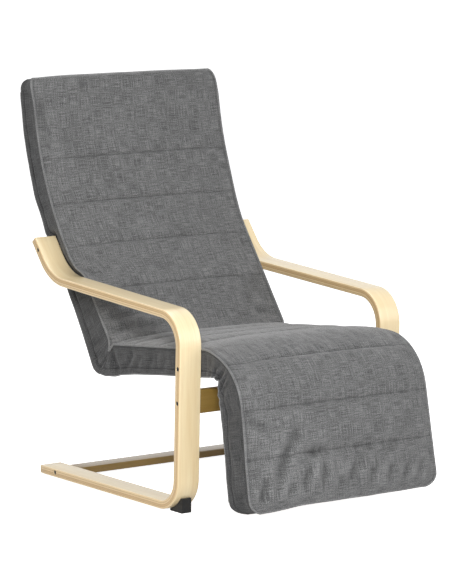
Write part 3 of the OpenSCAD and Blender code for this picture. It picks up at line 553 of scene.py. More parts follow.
bpy.context.scene.view_settings.view_transform = "Standard"
world = bpy.data.worlds.new("world")
bpy.context.scene.world = world
world.use_nodes = True
wt = world.node_tree
ray = node(wt, "ShaderNodeLightPath")
seen = maths(wt, "MAXIMUM", ray.outputs["Is Camera Ray"],
             maths(wt, "MAXIMUM", ray.outputs["Is Glossy Ray"], ray.outputs["Is Transmission Ray"]))
sky = wt.nodes["Background"]
sky.inputs["Color"].default_value = (1, 1, 1, 1)
wt.links.new(span(wt, seen, 0.0, 1.0, WORLD_LIGHT, 1.0), sky.inputs["Strength"])

floor = make_mesh("floor", [(x * FLOOR_HALF, y * FLOOR_HALF, 0)
                            for x, y in ((-1, -1), (1, -1), (1, 1), (-1, 1))],
                  [(0, 1, 2, 3)], [], False)
floor_m, ft, fb = material("floor", 0.9, (0.9, 0.9, 0.9), Specular_IOR_Level=0.0,
                           Emission_Color=(1, 1, 1, 1))
camera_ray = node(ft, "ShaderNodeLightPath").outputs["Is Camera Ray"]
ft.links.new(span(ft, camera_ray, 0.0, 1.0, 0.0, FLOOR_GLOW), fb.inputs["Emission Strength"])
floor.data.materials.append(floor_m)


# ---------------------------------------------------------------- side frames and boards
POST_FROM = path_len(STRIP_LEGS[:2])
FRONT_BAR_AT, SEAT_BOLT_AT = POST_FROM + 191, POST_FROM + 275
BOLTS = {
    "seat": on_strip(SEAT_BOLT_AT),
    "back": np.array([359.862, 577.837]),
    "front": on_strip(FRONT_BAR_AT),
    "rear": np.array([STRIP_START[0] - 70, 15.0]),
}
HEAD_D, HEAD_DEEP = 11.6, 6.5
NUT_HOLE, NUT_IN, NUT_SKIN = 10.6, 30.0, 3.0
STRIP_ROUND, RAIL_ROUND, BAR_ROUND = 2.6, 2.0, 1.6
BACK_BAR_TURN, FOOT_RAIL_LEN = 55.21, 282
RAIL_LEN = path_len(RAIL_LEGS)
SLAT_W = 48.0
HEAD_AT, FRONT_AT, BACK_FROM, CORNER_MID = RAIL_LEN - SLAT_W, 70.0, 476.298, 440.195


def nut_rod(side, x_half, bolt, heading, thick):
    """The blind hole of a barrel nut: it leaves a skin on the board's upper face."""
    a = radians(heading)
    n = np.array([0, -sin(a), cos(a)])
    at = np.array([side * (x_half - NUT_IN), *bolt])
    return at - n * thick, at + n * (thick / 2 - NUT_SKIN), NUT_HOLE


def placed(obj, grain, body, name):
    """Gives a board its grain and puts it in its CAD node's place."""
    crisp(obj)
    set_vectors(obj, "grain", grain(coords(obj) / MM) * MM)
    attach(obj, body)
    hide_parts(name)


def bar(name, pose, along, thick, x_half, slot, bolt=None, body="chair"):
    obj = straight_board(name + "_wood", x_half, pose, along, thick, BAR_ROUND, BY_SLOT[slot])
    if bolt is not None:
        cut_rods(obj, [nut_rod(side, x_half, bolt, pose[2], thick) for side in (-1, 1)])
    placed(obj, straight_grain(pose), body, name)


def slat(name, pose, thick, x_half, body="chair"):
    """A slat between two rails, flush with their upper faces."""
    at = (*lift(pose, (BOARD_THICK - thick) / 2), pose[2])
    bar(name, at, SLAT_W, thick, x_half, "birch_ply", body=body)


for side, tag in SIDES:
    strip = swept_board("side_frame_wood_" + tag, on_strip, STRIP_LEGS, side, INNER_X, OUTER_X,
                        STRIP_THICK, STRIP_ROUND, STRIP_WOOD)
    cut_rods(strip, [((side * (OUTER_X - HEAD_DEEP), y, z), (side * (OUTER_X + 5), y, z), HEAD_D)
                     for y, z in BOLTS.values()])
    placed(strip, swept_grain(on_strip, STRIP_LEGS), "chair", "side_frame_" + tag)

bar("front_crossbar", strip_pose(FRONT_BAR_AT), 58, BOARD_THICK, INNER_X, "birch_crossbar",
    BOLTS["front"])
bar("rear_crossbar", (*BOLTS["rear"], 0), 52, BOARD_THICK, INNER_X, "birch_crossbar", BOLTS["rear"])
bar("back_crossbar", (*BOLTS["back"], BACK_BAR_TURN), 58, BOARD_THICK, RAIL_OUT_X, "birch_ply",
    BOLTS["back"])
slat("head_rail", rail_pose(HEAD_AT), BOARD_THICK, RAIL_IN_X)
slat("seat_front_rail", rail_pose(FRONT_AT), BOARD_THICK, RAIL_IN_X)
for i in range(5):
    at = BACK_FROM + (HEAD_AT - BACK_FROM) / 5 * i + SLAT_W / 2
    slat(f"back_slat_{i + 1}", rail_pose(at), SLAT_THICK, RAIL_IN_X)
for i in range(1, 4):
    at = FRONT_AT + (CORNER_MID - FRONT_AT) / 4 * i
    slat(f"seat_slat_{i}", rail_pose(at), SLAT_THICK, RAIL_IN_X)
slat("footrest_end_rail", foot_pose(34), BOARD_THICK, FOOT_IN_X, "footrest")
slat("footrest_slat_1", foot_pose(111), SLAT_THICK, FOOT_IN_X, "footrest")
slat("footrest_slat_2", foot_pose(188), SLAT_THICK, FOOT_IN_X, "footrest")

for side, tag in SIDES:
    rail = swept_board("seat_back_rail_wood_" + tag, on_rail, RAIL_LEGS, side, RAIL_IN_X,
                       RAIL_OUT_X, BOARD_THICK, RAIL_ROUND, PLY_WOOD, turn=2.5)
    cut_rods(rail, [nut_rod(side, RAIL_OUT_X, BOLTS["seat"], RAIL_START[2], BOARD_THICK)])
    placed(rail, swept_grain(on_rail, RAIL_LEGS), "chair", "seat_back_rail_" + tag)
    rail = swept_board("footrest_rail_wood_" + tag, on_foot, [(FOOT_RAIL_LEN, 0)], side, FOOT_IN_X,
                       FOOT_OUT_X, BOARD_THICK, RAIL_ROUND, PLY_WOOD)
    placed(rail, swept_grain(on_foot, FOOT_LEGS), "footrest", "footrest_rail_" + tag)

# ---------------------------------------------------------------- padded cover
# A pad is a loft of closed rings. Each ring runs over the crowned top, down a gusset to the hem,
# up the inside of the side wall and across the underside, and back the same way.
TOP_N, GUSSET_N, HEM_N, WALL_N = 84, 12, 2, 4
UNDER_N = TOP_N - 2 * (HEM_N + WALL_N)
R_HEM, RING_N = TOP_N + GUSSET_N, 2 * (TOP_N + GUSSET_N)
R_HEM_L = RING_N - GUSSET_N
GUSSET_T = np.array([0, 0.08, 0.17, 0.27, 0.37, 0.47, 0.57, 0.66, 0.72, 0.76, 0.80, 0.88, 1])
HEM_SEAM_ROW = 9
FLAP_X, GUSSET_DRAW, PIPING_SINK = 262.6, 3.0, 1.6
PAD_LOW, BACK_TOP, HEM_LOW = 9.6, 42.5, -24.5
FOOT_TOP, FOOT_HEM = 54.5, -37.0
SEAT_W, FOOT_W = 270.0, 277.0
POWER = 3.0  # of the crown's curve: higher is flatter in the middle


def rim_distances(width):
    """Distances from the piping at which the top's columns lie, from one edge to the middle."""
    near = [0.0, 3.5, 7.5, 12.5, 18.5]
    rest = TOP_N // 2 - len(near) + 1
    return near + [near[-1] + (width - near[-1]) * (k + 1) / rest for k in range(rest)]


def rim_groove(rim):
    return bell(rim - 4.5, 2.5)


def ring(st, plain):
    """One closed ring of a station: edge e, hem h and underside u in (y, z), and the normal n.

    A plain ring leaves out the dips of the sewn channels.
    """
    e, h, u, n = (np.asarray(st[k], float) for k in "ehun")
    crown = st["crown"] + (st.get("dip", 0.0) if plain else 0.0)
    upper, lower = ({-1: st[k][0], 1: st[k][1]} for k in ("w", "wh"))
    reach = st.get("sides") or {s: upper[s] + (lower[s] - upper[s]) * GUSSET_T for s in upper}
    top = []
    for k in range(TOP_N + 1):
        side = 1 if k > TOP_N // 2 else -1
        rim = rim_distances(upper[side])[min(k, TOP_N - k)]
        x = max(0.0, upper[side] - rim)
        bulge = crown * (1 - (x / upper[side]) ** st.get("power", POWER))
        rise = bulge - PIPING_SINK * rim_groove(rim)
        top.append((side * x, *(e + n * rise)))

    def half(side):
        out = [(side * (reach[side][k] - GUSSET_DRAW * sin(pi * t)), *(e + (h - e) * t))
               for k, t in enumerate(GUSSET_T) if 0 < k < GUSSET_N]
        low = lower[side]
        if st.get("solid"):
            step = (lower[1] + lower[-1]) / TOP_N
            return out + [(side * (low - step * k), *h) for k in range(HEM_N + WALL_N + 1)]
        flap = min(FLAP_X, low - 5)
        out += [(side * (low + (flap - low) * k / HEM_N), *h) for k in range(HEM_N + 1)]
        return out + [(side * flap, *(h + (u - h) * k / WALL_N)) for k in range(1, WALL_N + 1)]

    right, left = half(1), half(-1)
    a, b = np.array(right[-1]), np.array(left[-1])
    under = [a + (b - a) * k / UNDER_N for k in range(1, UNDER_N)]
    out = np.array(top + right + under + left[::-1])
    if "sag" in st:
        out[:, 1:] += np.outer(ease((-out[:, 0] - 120) / 130), st["sag"])
    return out


def pad_grid(stations, plain=False):
    return np.array([ring(st, plain) for st in stations])


def end_cap(grid, bulge, outward):
    """Points that close the solid end between its ring's top and its underside."""
    r = grid[-1]
    top, low = r[:TOP_N + 1], r[R_HEM:R_HEM_L + 1][::-1]
    right, left = r[TOP_N:R_HEM + 1], np.vstack([r[0], r[:R_HEM_L:-1], r[R_HEM_L]])
    out = []
    for j, v in enumerate(GUSSET_T[1:-1], 1):
        for i in range(1, TOP_N):
            s = i / TOP_N
            p = (1 - v) * top[i] + v * low[i]
            p = p + (1 - s) * (left[j] - (1 - v) * top[0] - v * low[0])
            p = p + s * (right[j] - (1 - v) * top[-1] - v * low[-1])
            swell = bulge * sin(pi * v) * (1 - abs(2 * s - 1) ** 6)
            out.append(p + np.array([0, *outward]) * swell)
    return np.array(out)


def pad_faces(rows):
    """Faces and material slots of the loft and its ends; the first is hollow between the flaps."""
    faces, slots = [], []
    for i in range(0, (rows - 1) * RING_N, RING_N):
        for k in range(RING_N):
            j = (k + 1) % RING_N
            faces.append((i + k, i + RING_N + k, i + RING_N + j, i + j))
            # The sides and hem rows take slot 2, the darker copy of the linen that paints their
            # shade
            side = TOP_N <= k < R_HEM + HEM_N or k >= R_HEM_L - HEM_N
            slots.append(2 if side else int(k > TOP_N))
    under, under_l = R_HEM + HEM_N + WALL_N, R_HEM_L - HEM_N - WALL_N
    pad = [*range(TOP_N + 1), *range(under, under_l + 1)]
    right, left = [*range(TOP_N, under + 1)], [0, *range(under_l, RING_N)]
    faces += [tuple(f[::-1]) for f in (pad, right, left)]
    base, extra = (rows - 1) * RING_N, rows * RING_N

    def at(i, j):
        if j in (0, GUSSET_N):
            return base + (R_HEM_L - i if j else i)
        if i in (0, TOP_N):
            return base + (TOP_N + j if i else RING_N - j)
        return extra + (j - 1) * (TOP_N - 1) + (i - 1)

    faces += [(at(i, j), at(i + 1, j), at(i + 1, j + 1), at(i, j + 1))
              for j in range(GUSSET_N) for i in range(TOP_N)]
    return faces, slots + [0] * (len(faces) - len(slots))


def build_pad(name, stations, grid, bulge, outward):
    along, around = edge_run(stations), run_of(grid[len(stations) // 2])
    weave = np.array([(a * MM, r * MM, 0) for a in along for r in around])
    cap = end_cap(grid, bulge, outward)
    depth = np.linalg.norm(cap[:, 1:] - stations[-1]["e"], axis=1)
    cap_weave = np.stack([(along[-1] + depth) * MM, (cap[:, 0] + SEAT_W) * MM, 0 * depth], 1)
    faces, slots = pad_faces(len(stations))
    obj = make_mesh(name, np.vstack([grid.reshape(-1, 3), cap]), faces, [FABRIC, LINING, SIDE_LINEN_PAINTED_SHADE])
    obj.data.polygons.foreach_set("material_index", slots)
    set_vectors(obj, "weave", np.vstack([weave, cap_weave]))
    return obj


def edge_run(stations):
    return run_of([st["e"] for st in stations])


# ---------------------------------------------------------------- stations of the cover
CHANNEL, SEAT_CHANNEL, KNEE_CHANNEL, FOOT_CHANNEL, CROWN = 4.4, 2.6, 4.2, 4.0, 13.0


def channel_at(d, seams, depth, reach):
    """How far the top is drawn down near sewn seams: a soft dip with a narrow groove."""
    out = 0.0
    for s in seams:
        x = abs(d - s)
        dip = depth * max(0.0, 1 - x / reach) ** 2.2 + 2.2 * bell(x, 2.4)
        out = max(out, dip)
    return out


def spaced(start, end, seams, crease=None, pitch=9.0):
    """Distances at about that pitch, with close ones beside seams and the crease."""
    marks = [start, end]
    marks += [s + o for s in seams for o in (-8.0, -3.0, 0.0, 3.0, 8.0) if start < s + o < end]
    if crease is not None:
        inward = 1 if crease == start else -1
        marks += [crease + inward * o for o in (1.0, 3.0, 6.0, 10.0, 15.0)]
    marks = sorted(marks)
    out = [marks[0]]
    for a, b in zip(marks, marks[1:]):
        n = max(1, round((b - a) / pitch))
        out += [a + (b - a) * (k + 1) / n for k in range(n)]
    return out


def dive_at(x, reach=15.0, depth=15.0):
    """How far the pad's rounded end falls away at a distance from the crease."""
    return depth * (1 - sqrt(max(0.0, 1 - max(0.0, 1 - x / reach) ** 2)))


def curls(n=7):
    """Shares of a rounded end's length, and how far the end has curled in there."""
    for k in range(1, n + 1):
        t = sin(pi / 2 * k / n)
        yield t, 1 - sqrt(1 - (0.985 * t) ** 2)


BACK_START, SEAT_END = CORNER_MID + 0.6, CORNER_MID - 0.6
BACK_END = RAIL_LEN + 1.0
HEAD_CAP, TOE_CAP, CAP_HEM_RISE = 32.0, 33.0, 34
HEAD_INSETS, TOE_INSET, CREASE_DROP, CREASE_POWER = (9, 22), 38, 10, 4.0
BACK_SEAMS = [BACK_START + 174 + 128 * i for i in range(4)]
SEAT_SEAMS = [110.0, 220.0, 330.0]
FOOT_SEAMS = [88.0, 204.0]
KNEE_FROM, KNEE_TO, KNEE_SEAM, HANDLE = 28.0, 215.0, 0.50, 0.60
# Depth of the hem below the rail, by the distance along it
BACK_HEM = ([476, 502, 529, 557, 665, 790, 860, 1000, 1220],
            [-65, -61.8, -58.5, -55.2, -50, -38.5, -31, -26, -24.5])
SEAT_HEM = ([28, 200, 251, 318, 381, 421], [-26, -27, -28.3, -29.6, -33.3, -41.2])
# The hem's (y, z) around the crease, by the distance along the rail
CORNER_AT = [421, 430, 439.6, 440.8, 457, 476]
CORNER_YZ = np.array([(127, 280), (150, 275.5), (186, 279), (180, 276), (206, 286.5), (217.5, 308)])

STRIP_LEN = path_len(STRIP_LEGS)
UPTURN = [strip_pose(STRIP_LEN - 4.0 * k) for k in range(110)]
NEAR_SPREAD, FAR_SPREAD, ARM_GAP = 22.0, 10.0, 2


def spread_at(s, p):
    """How far the cover may spread at p: 0 beside the arm's strip, up to 1 away from it."""
    y, z, h = min(UPTURN, key=lambda q: (q[0] - p[0]) ** 2 + (q[1] - p[1]) ** 2)
    a = radians(h)
    along = (p[0] - y) * cos(a) + (p[1] - z) * sin(a)
    out = -(p[0] - y) * sin(a) + (p[1] - z) * cos(a)
    clear = abs(out) - STRIP_THICK / 2
    if (y, z, h) == UPTURN[0] and along > 0:
        return ease((hypot(along, max(0.0, clear)) - 3) / 10)
    if out > 0:
        return ease((clear - ARM_GAP) / 20)
    return ease((clear - ARM_GAP) / 12) * ease((s - 740) / 50)


def back_sides(s, e, h):
    """Half widths from piping to hem: the cover spreads over the arms, and sits a little askew."""
    tuck = 0.25 * float(1 - ease((s - 850) / 80))
    out = {}
    for side, grow in ((-1, NEAR_SPREAD * ease((s - 610) / 110)),
                       (1, FAR_SPREAD * ease((s - 760) / 200))):
        out[side] = np.array([SEAT_W + grow * (1 - tuck * t) * spread_at(s, e + (h - e) * t)
                              for t in GUSSET_T])
    return out


def hem_point(s, p, table):
    """The hem's (y, z): below the rail, and around the crease on the corner that it makes there."""
    if CORNER_AT[0] < s < CORNER_AT[-1]:
        return np.array([np.interp(s, CORNER_AT, CORNER_YZ[:, c]) for c in (0, 1)])
    return lift(p, float(np.interp(s, *table)))


def upright(p):
    return lift(p, 1) - lift(p, 0)


def shoulder(s):
    """How far the piping falls toward the head's corners while the middle of the top stays up."""
    return 11 * ease((s - BACK_END + 45) / 75)


def back_stations():
    out = []
    for s in spaced(BACK_START, BACK_END, BACK_SEAMS, BACK_START):
        p, drop = rail_pose(s), shoulder(s)
        near = 1 - ease((s - BACK_START) / 34)
        e = lift(p, BACK_TOP - CREASE_DROP * near - dive_at(s - BACK_START) - drop)
        h = hem_point(s, p, BACK_HEM)
        dip = channel_at(s, BACK_SEAMS, CHANNEL, 18)
        sides = back_sides(s, e, h)
        w, wh = ((sides[-1][k], sides[1][k]) for k in (0, -1))
        out.append(dict(e=e, h=h, u=lift(p, PAD_LOW), n=upright(p), w=w, wh=wh, sides=sides,
                        crown=CROWN - dip + CREASE_DROP * near + drop, dip=dip,
                        power=POWER + CREASE_POWER * near + 0.25 * drop))
    for t, curl in curls():
        s = BACK_END + HEAD_CAP * t
        p, drop = rail_pose(s), shoulder(s)
        h = lift(p, HEM_LOW + CAP_HEM_RISE * curl ** 1.5)
        w = SEAT_W + np.array([NEAR_SPREAD, FAR_SPREAD]) - np.array(HEAD_INSETS) * curl
        out.append(dict(e=lift(p, BACK_TOP - 3 * curl - drop), h=h, u=h, n=upright(p), w=w, wh=w,
                        crown=CROWN * (1 - 0.6 * curl) + drop, power=POWER + 0.25 * drop,
                        solid=True))
    return out


def bezier(a, b, c, d, t):
    return a * (1 - t) ** 3 + 3 * b * t * (1 - t) ** 2 + 3 * c * t * t * (1 - t) + d * t ** 3


def along_points(points, t):
    """The point at a share of a polyline's length."""
    points, run = np.asarray(points, float), run_of(points)
    return np.array([np.interp(t * run[-1], run, points[:, c]) for c in (0, 1)])


# Lumps and a notch of the gathered hem behind the knee: share of the knee, drop, width
HEM_LUMPS = [(0.475, 10.0, 0.035), (0.56, -5.0, 0.035), (0.72, 9.0, 0.06), (0.90, 3.0, 0.06)]


def ahead(heading):
    a = radians(heading)
    return np.array([cos(a), sin(a)])


def knee_edge(t):
    """The piping's (y, z) at a share of the knee, from the seat to the footrest."""
    a, b = on_rail(KNEE_FROM, BACK_TOP), on_foot(KNEE_TO, FOOT_TOP)
    ta, tb = -ahead(RAIL_START[2]), ahead(FOOT_START[2])
    run = np.linalg.solve(np.stack([ta, -tb], 1), b - a)
    return bezier(a, a + ta * HANDLE * run[0], b + tb * HANDLE * run[1], b, t)


def knee_hem(t):
    seat = [on_rail(KNEE_FROM, SEAT_HEM[1][0]), on_rail(-28, HEM_LOW)]
    foot = [on_foot(278, FOOT_HEM), on_foot(KNEE_TO, FOOT_HEM)]
    corner = np.array([-341.5, 339.0])
    bend = [bezier(seat[1], corner, corner, foot[0], k / 6) for k in range(1, 6)]
    return along_points([*seat, *bend, *foot], t)


def knee_under(t):
    """The underside goes round the hinge's pivot."""
    arc = [PIVOT + (22.8 + 6.8 * k / 8 + 3 * sin(pi * k / 8)) * ahead(84.3 + 83.2 * k / 8)
           for k in range(9)]
    return along_points([on_rail(KNEE_FROM, PAD_LOW), *arc, on_foot(KNEE_TO, PAD_LOW)], t)


KNEE_LEN = run_of([knee_edge(k / 60) for k in range(61)])[-1]


def foot_widths(s):
    """The footrest's cover spreads toward its near corner, as it sits a little askew."""
    near, far = 12 * ease((KNEE_TO + 20 - s) / 250), 2 * ease((KNEE_TO - s) / 200)
    return FOOT_W + near, FOOT_W - far


def sag_at(s):
    return (on_foot(0) - on_foot(1)) * 7 * ease((70 - s) / 70)


def seat_stations():
    out = []
    for s in reversed(spaced(KNEE_FROM, SEAT_END, SEAT_SEAMS, SEAT_END)):
        p = rail_pose(s)
        near = 1 - ease((SEAT_END - s) / 26)
        dip = channel_at(s, SEAT_SEAMS, SEAT_CHANNEL, 18)
        out.append(dict(e=lift(p, BACK_TOP - CREASE_DROP * near - dive_at(SEAT_END - s)),
                        h=hem_point(s, p, SEAT_HEM), u=lift(p, PAD_LOW), n=upright(p),
                        w=(SEAT_W - near, SEAT_W - near), wh=(SEAT_W, SEAT_W),
                        crown=CROWN - dip + CREASE_DROP * near, dip=dip,
                        power=POWER + CREASE_POWER * near))
    seam = KNEE_LEN * KNEE_SEAM
    for m in spaced(0, KNEE_LEN, [seam], pitch=5.0)[1:]:
        t = m / KNEE_LEN
        e, f = knee_edge(t), knee_edge(min(1, t + 0.01)) - knee_edge(max(0, t - 0.01))
        f /= np.linalg.norm(f)
        w = SEAT_W + (FOOT_W - SEAT_W) * ease((-e[0] - 285) / 60)
        wh = w - 2.5 * sin(pi * t)
        dip = channel_at(m, [seam], KNEE_CHANNEL, 20)
        h = knee_hem(t)
        lumps = sum(drop * bell(t - at, wide) for at, drop, wide in HEM_LUMPS)
        out.append(dict(e=e, h=h + (h - e) / np.linalg.norm(h - e) * lumps, u=knee_under(t),
                        n=np.array([f[1], -f[0]]), w=(w, w), wh=(wh, wh), crown=CROWN - dip,
                        dip=dip, loose=t > 0.2))
    for s in reversed(spaced(0, KNEE_TO, FOOT_SEAMS)[:-1]):
        p, w = foot_pose(s), foot_widths(s)
        dip = channel_at(s, FOOT_SEAMS, FOOT_CHANNEL, 20)
        out.append(dict(e=lift(p, FOOT_TOP), h=lift(p, FOOT_HEM), u=lift(p, PAD_LOW),
                        n=upright(p), w=w, wh=w, crown=CROWN - dip, dip=dip, loose=True,
                        sag=sag_at(s)))
    for t, curl in curls():
        p = foot_pose(-1.0 - (TOE_CAP - 1) * t)
        h = lift(p, FOOT_HEM + CAP_HEM_RISE * curl)
        w = tuple(v - TOE_INSET * curl for v in foot_widths(0))
        out.append(dict(e=lift(p, FOOT_TOP - 9 * curl), h=h, u=h, n=upright(p), w=w, wh=w,
                        crown=CROWN * (1 - 0.3 * curl), solid=True, sag=sag_at(0)))
    return out


# ---------------------------------------------------------------- wrinkles of the cover
# Noise of the top: height, length along the pad and across it, offset of the seed
TOP_NOISE = [(1.1, 95, 120, 0), (0.7, 38, 52, 3)]
# Noise of the sides: height, length along the pad, waves over the depth, offset of the seed
SIDE_NOISE = [(1.7, 42, 1.6, 11), (0.9, 17, 2.2, 13)]
# How far from a seam or the piping the top's gathers, loose cloth, hold, slide and the sewn lines'
# painted shade reach
PUCKER_REACH, RIM_REACH, HOLD_REACH, SLIDE_REACH, SEWN_SHADE_REACH = 15, 26, 18, 12, 2.2
# What the rows of a side's seams rise by, and how much painted shade darkens the hem seam's row and
# the row under the piping
SEAM_RISE = {HEM_SEAM_ROW: -2.8, HEM_SEAM_ROW + 1: 0.3, HEM_SEAM_ROW + 2: 1.0}
SEAM_PAINTED_SHADE = {HEM_SEAM_ROW: 0.8, 1: 0.45}


def rumple(a, b, seed):
    return noise3.noise(Vector((a, b, seed)))


def fold(a, x, line, depth, width):
    """A crease along a line of (a, x) points with a soft ridge beside it, fading at its ends."""
    best, share = 1e9, 0.0
    total = sum(dist(p, q) for p, q in zip(line, line[1:]))
    done = 0.0
    for p, q in zip(line, line[1:]):
        ux, uy, run = q[0] - p[0], q[1] - p[1], dist(p, q)
        t = max(0.0, min(1.0, ((a - p[0]) * ux + (x - p[1]) * uy) / run ** 2))
        d = hypot(a - p[0] - t * ux, x - p[1] - t * uy)
        if d < best:
            best, share = d, (done + t * run) / total
        done += run
    if best > 4 * width:
        return 0.0
    taper = min(1.0, 4 * (share + 0.05), 4 * (1.05 - share))
    return depth * taper * (0.55 * bell(best - 2.1 * width, width) - bell(best, width))


def wrinkled(grid, stations, along, seams, top_extra, side_extra, seed):
    """Moves the loft along its normals by soft noise, puckers and folds.

    Returns it with a painted shading for the fabric's colour: painted shade below 0 in folds and
    seams, painted highlight above 0 on ridges.
    """
    du = np.gradient(grid, axis=0)
    dv = np.roll(grid, -1, 1) - np.roll(grid, 1, 1)
    normal = np.cross(du, dv)
    normal /= np.linalg.norm(normal, axis=2)[:, :, None] + 1e-9
    third = len(stations) // 3
    if np.dot(normal[third, TOP_N // 2, 1:], stations[third]["n"]) < 0:
        normal = -normal
    out, painted_shading = grid.copy(), np.zeros(grid.shape[:2])
    for i, (st, a) in enumerate(zip(stations, along)):
        seam_d = min(abs(a - s) for s in seams)
        for k in range(TOP_N + 1):
            x = grid[i, k, 0]
            rim = abs(x - grid[i, 0 if k < TOP_N / 2 else TOP_N, 0])
            hold = ease(rim / HOLD_REACH) * 0.85 + 0.15
            d = sum(h * rumple(a / u, x / w, seed + o) for h, u, w, o in TOP_NOISE)
            d += 1.5 * bell(seam_d, PUCKER_REACH) * rumple(a / 60, x / 12, seed + 5)
            d += 1.1 * bell(rim, RIM_REACH) * rumple(a / 15, x / 70, seed + 7) + top_extra(a, x)
            # Painted shade along a sewn line, uneven along it
            uneven = min(1.0, 0.75 + rumple(x / 14, seam_d, seed))
            sewn = 0.7 * bell(seam_d, SEWN_SHADE_REACH) * uneven
            # Painted shading: folds and sewn lines darken, ridges lighten as painted highlight, and
            # the groove beside the piping gets painted shade
            painted_shading[i, k] = d / 8 - sewn - 0.5 * rim_groove(rim)
            out[i, k] += normal[i, k] * d * hold
            if 0 < i < len(grid) - 1:
                slide = 1.6 * bell(seam_d, SLIDE_REACH) * rumple(x / 48, seed, 2.0)
                out[i, k] += du[i, k] / (np.linalg.norm(du[i, k]) + 1e-9) * slide * hold
        deep = float(np.linalg.norm(st["h"] - st["e"]))
        loose, solid = st.get("loose"), st.get("solid")
        least, most = -9.0 if loose else -4.5, 5.0 if loose else 1.2 if solid else 2.2
        for side in (1, -1):
            for j in range(1, GUSSET_N + 1):
                k, v = TOP_N + j if side > 0 else RING_N - j, GUSSET_T[j]
                d = sum(h * rumple(a / u, v * w, seed + o * side) for h, u, w, o in SIDE_NOISE)
                d += side_extra(a, v, v * deep, side) + (0.0 if solid else SEAM_RISE.get(j, 0.0))
                d = max(least, min(d, most))
                # Painted shading of the sides: folds darken, ridges lighten, and the seam rows get
                # painted shade
                painted_shading[i, k] = d / 8 - SEAM_PAINTED_SHADE.get(j, 0.0)
                hold = min(1.0, 3.0 * v) * (0.5 if j == GUSSET_N else 1.0)
                out[i, k] += normal[i, k] * d * hold
    return out, np.clip(painted_shading, -1, 0.8)


# ---------------------------------------------------------------- pads
BACK_ST, SEAT_ST = back_stations(), seat_stations()


def nearest_rows(stations, points):
    """The stations whose edges are closest to the given points."""
    e = np.array([st["e"] for st in stations])
    return [int(np.argmin(np.linalg.norm(e - p, axis=1))) for p in points]


BACK_SEWN = nearest_rows(BACK_ST, [on_rail(s, BACK_TOP) for s in BACK_SEAMS])
SEAT_SEWN = nearest_rows(SEAT_ST, [*(on_rail(s, BACK_TOP) for s in SEAT_SEAMS),
                                   knee_edge(KNEE_SEAM),
                                   *(on_foot(s, FOOT_TOP) for s in FOOT_SEAMS)])
KNEE_AT, FOOT_AT = edge_run(SEAT_ST)[nearest_rows(SEAT_ST, [on_rail(KNEE_FROM, BACK_TOP),
                                                            on_foot(KNEE_TO, FOOT_TOP)])]
# A fold is its line, its depth and its width.
# Folds of the footrest's lower front: their lines are (distance above the toe rail, X) points
FOOT_FOLDS = [
    ([(-8, -262), (40, -236)], 6.1, 9),
    ([(20, -214), (48, -198), (108, -166), (160, -128)], 5.8, 12),
    ([(-6, -180), (25, -166)], 4.4, 9), ([(8, -138), (24, -130), (50, -111)], 5.4, 9),
    ([(8, -80), (26, -75), (73, -67)], 4.8, 10), ([(0, -28), (24, -22)], 3.7, 9),
    ([(4, 0), (16, 4), (52, 30)], 5.4, 10), ([(85, -112), (96, -56)], 4.1, 12),
    ([(-4, 62), (36, 80)], 4.8, 10), ([(-4, 118), (34, 134)], 4.4, 9),
    ([(-4, 168), (30, 184)], 4.4, 9), ([(-4, 214), (34, 232)], 4.1, 9),
    ([(180, -262), (150, -215)], 3.1, 10), ([(60, 120), (96, 158)], 2.7, 12),
]
# Folds of the back's and the seat's top: (distance from the pad's first edge, X) points
BACK_FOLDS = [
    ([(52, -262), (60, -170), (56, -90)], 3.6, 10), ([(88, -258), (98, -150)], 3.1, 11),
    ([(128, -262), (120, -190)], 2.5, 10), ([(246, -284), (218, -236)], 3.1, 9),
    ([(330, -286), (300, -250)], 2.2, 9), ([(700, -270), (640, -268), (560, -262)], 2.2, 12),
    ([(60, 258), (66, 190)], 2.8, 10), ([(744, -150), (700, -140)], 1.7, 12),
    ([(744, 120), (690, 132)], 1.7, 12),
]
SEAT_FOLDS = [
    ([(26, -262), (34, -190), (30, -110)], 3.4, 9), ([(62, -262), (74, -200)], 2.8, 10),
    ([(30, 262), (36, 200)], 2.8, 9), ([(128, -262), (150, -214)], 2.2, 9),
]
# Folds of the sides: (distance from the pad's first edge, depth below the piping) points
BACK_SIDE_FOLDS = [
    ([(3, 10), (8, 50), (14, 80)], 5.0, 5), ([(14, 26), (26, 58), (30, 84)], 5.0, 5),
    ([(44, 18), (60, 80)], 3.1, 8), ([(120, 12), (150, 70)], 2.4, 9),
    ([(560, 10), (590, 58)], 2.4, 9), ([(705, 8), (712, 52)], 2.9, 7),
    ([(420, 14), (436, 60)], 2.2, 9),
]
SEAT_SIDE_FOLDS = [
    ([(2, 8), (10, 30), (12, 60)], 4.0, 5), ([(16, 10), (34, 40), (46, 66)], 7.5, 8),
    ([(76, 58), (112, 16)], 3.9, 7), ([(118, 60), (156, 20)], 3.6, 7),
    ([(170, 58), (204, 22)], 3, 7), ([(232, 58), (262, 20)], 3, 8), ([(300, 56), (330, 18)], 3, 8),
]


def folds_at(a, x, folds):
    return sum(fold(a, x, *f) for f in folds)


def back_top(a, x):
    return folds_at(a, x, BACK_FOLDS)


def seat_top(a, x):
    if a > FOOT_AT - 10:
        return folds_at(KNEE_TO - (a - FOOT_AT), x, FOOT_FOLDS)
    return folds_at(a, x, SEAT_FOLDS) if a < 240 else 0.0


def back_side(a, v, down, side):
    return folds_at(a - (0 if side < 0 else 5), down, BACK_SIDE_FOLDS)


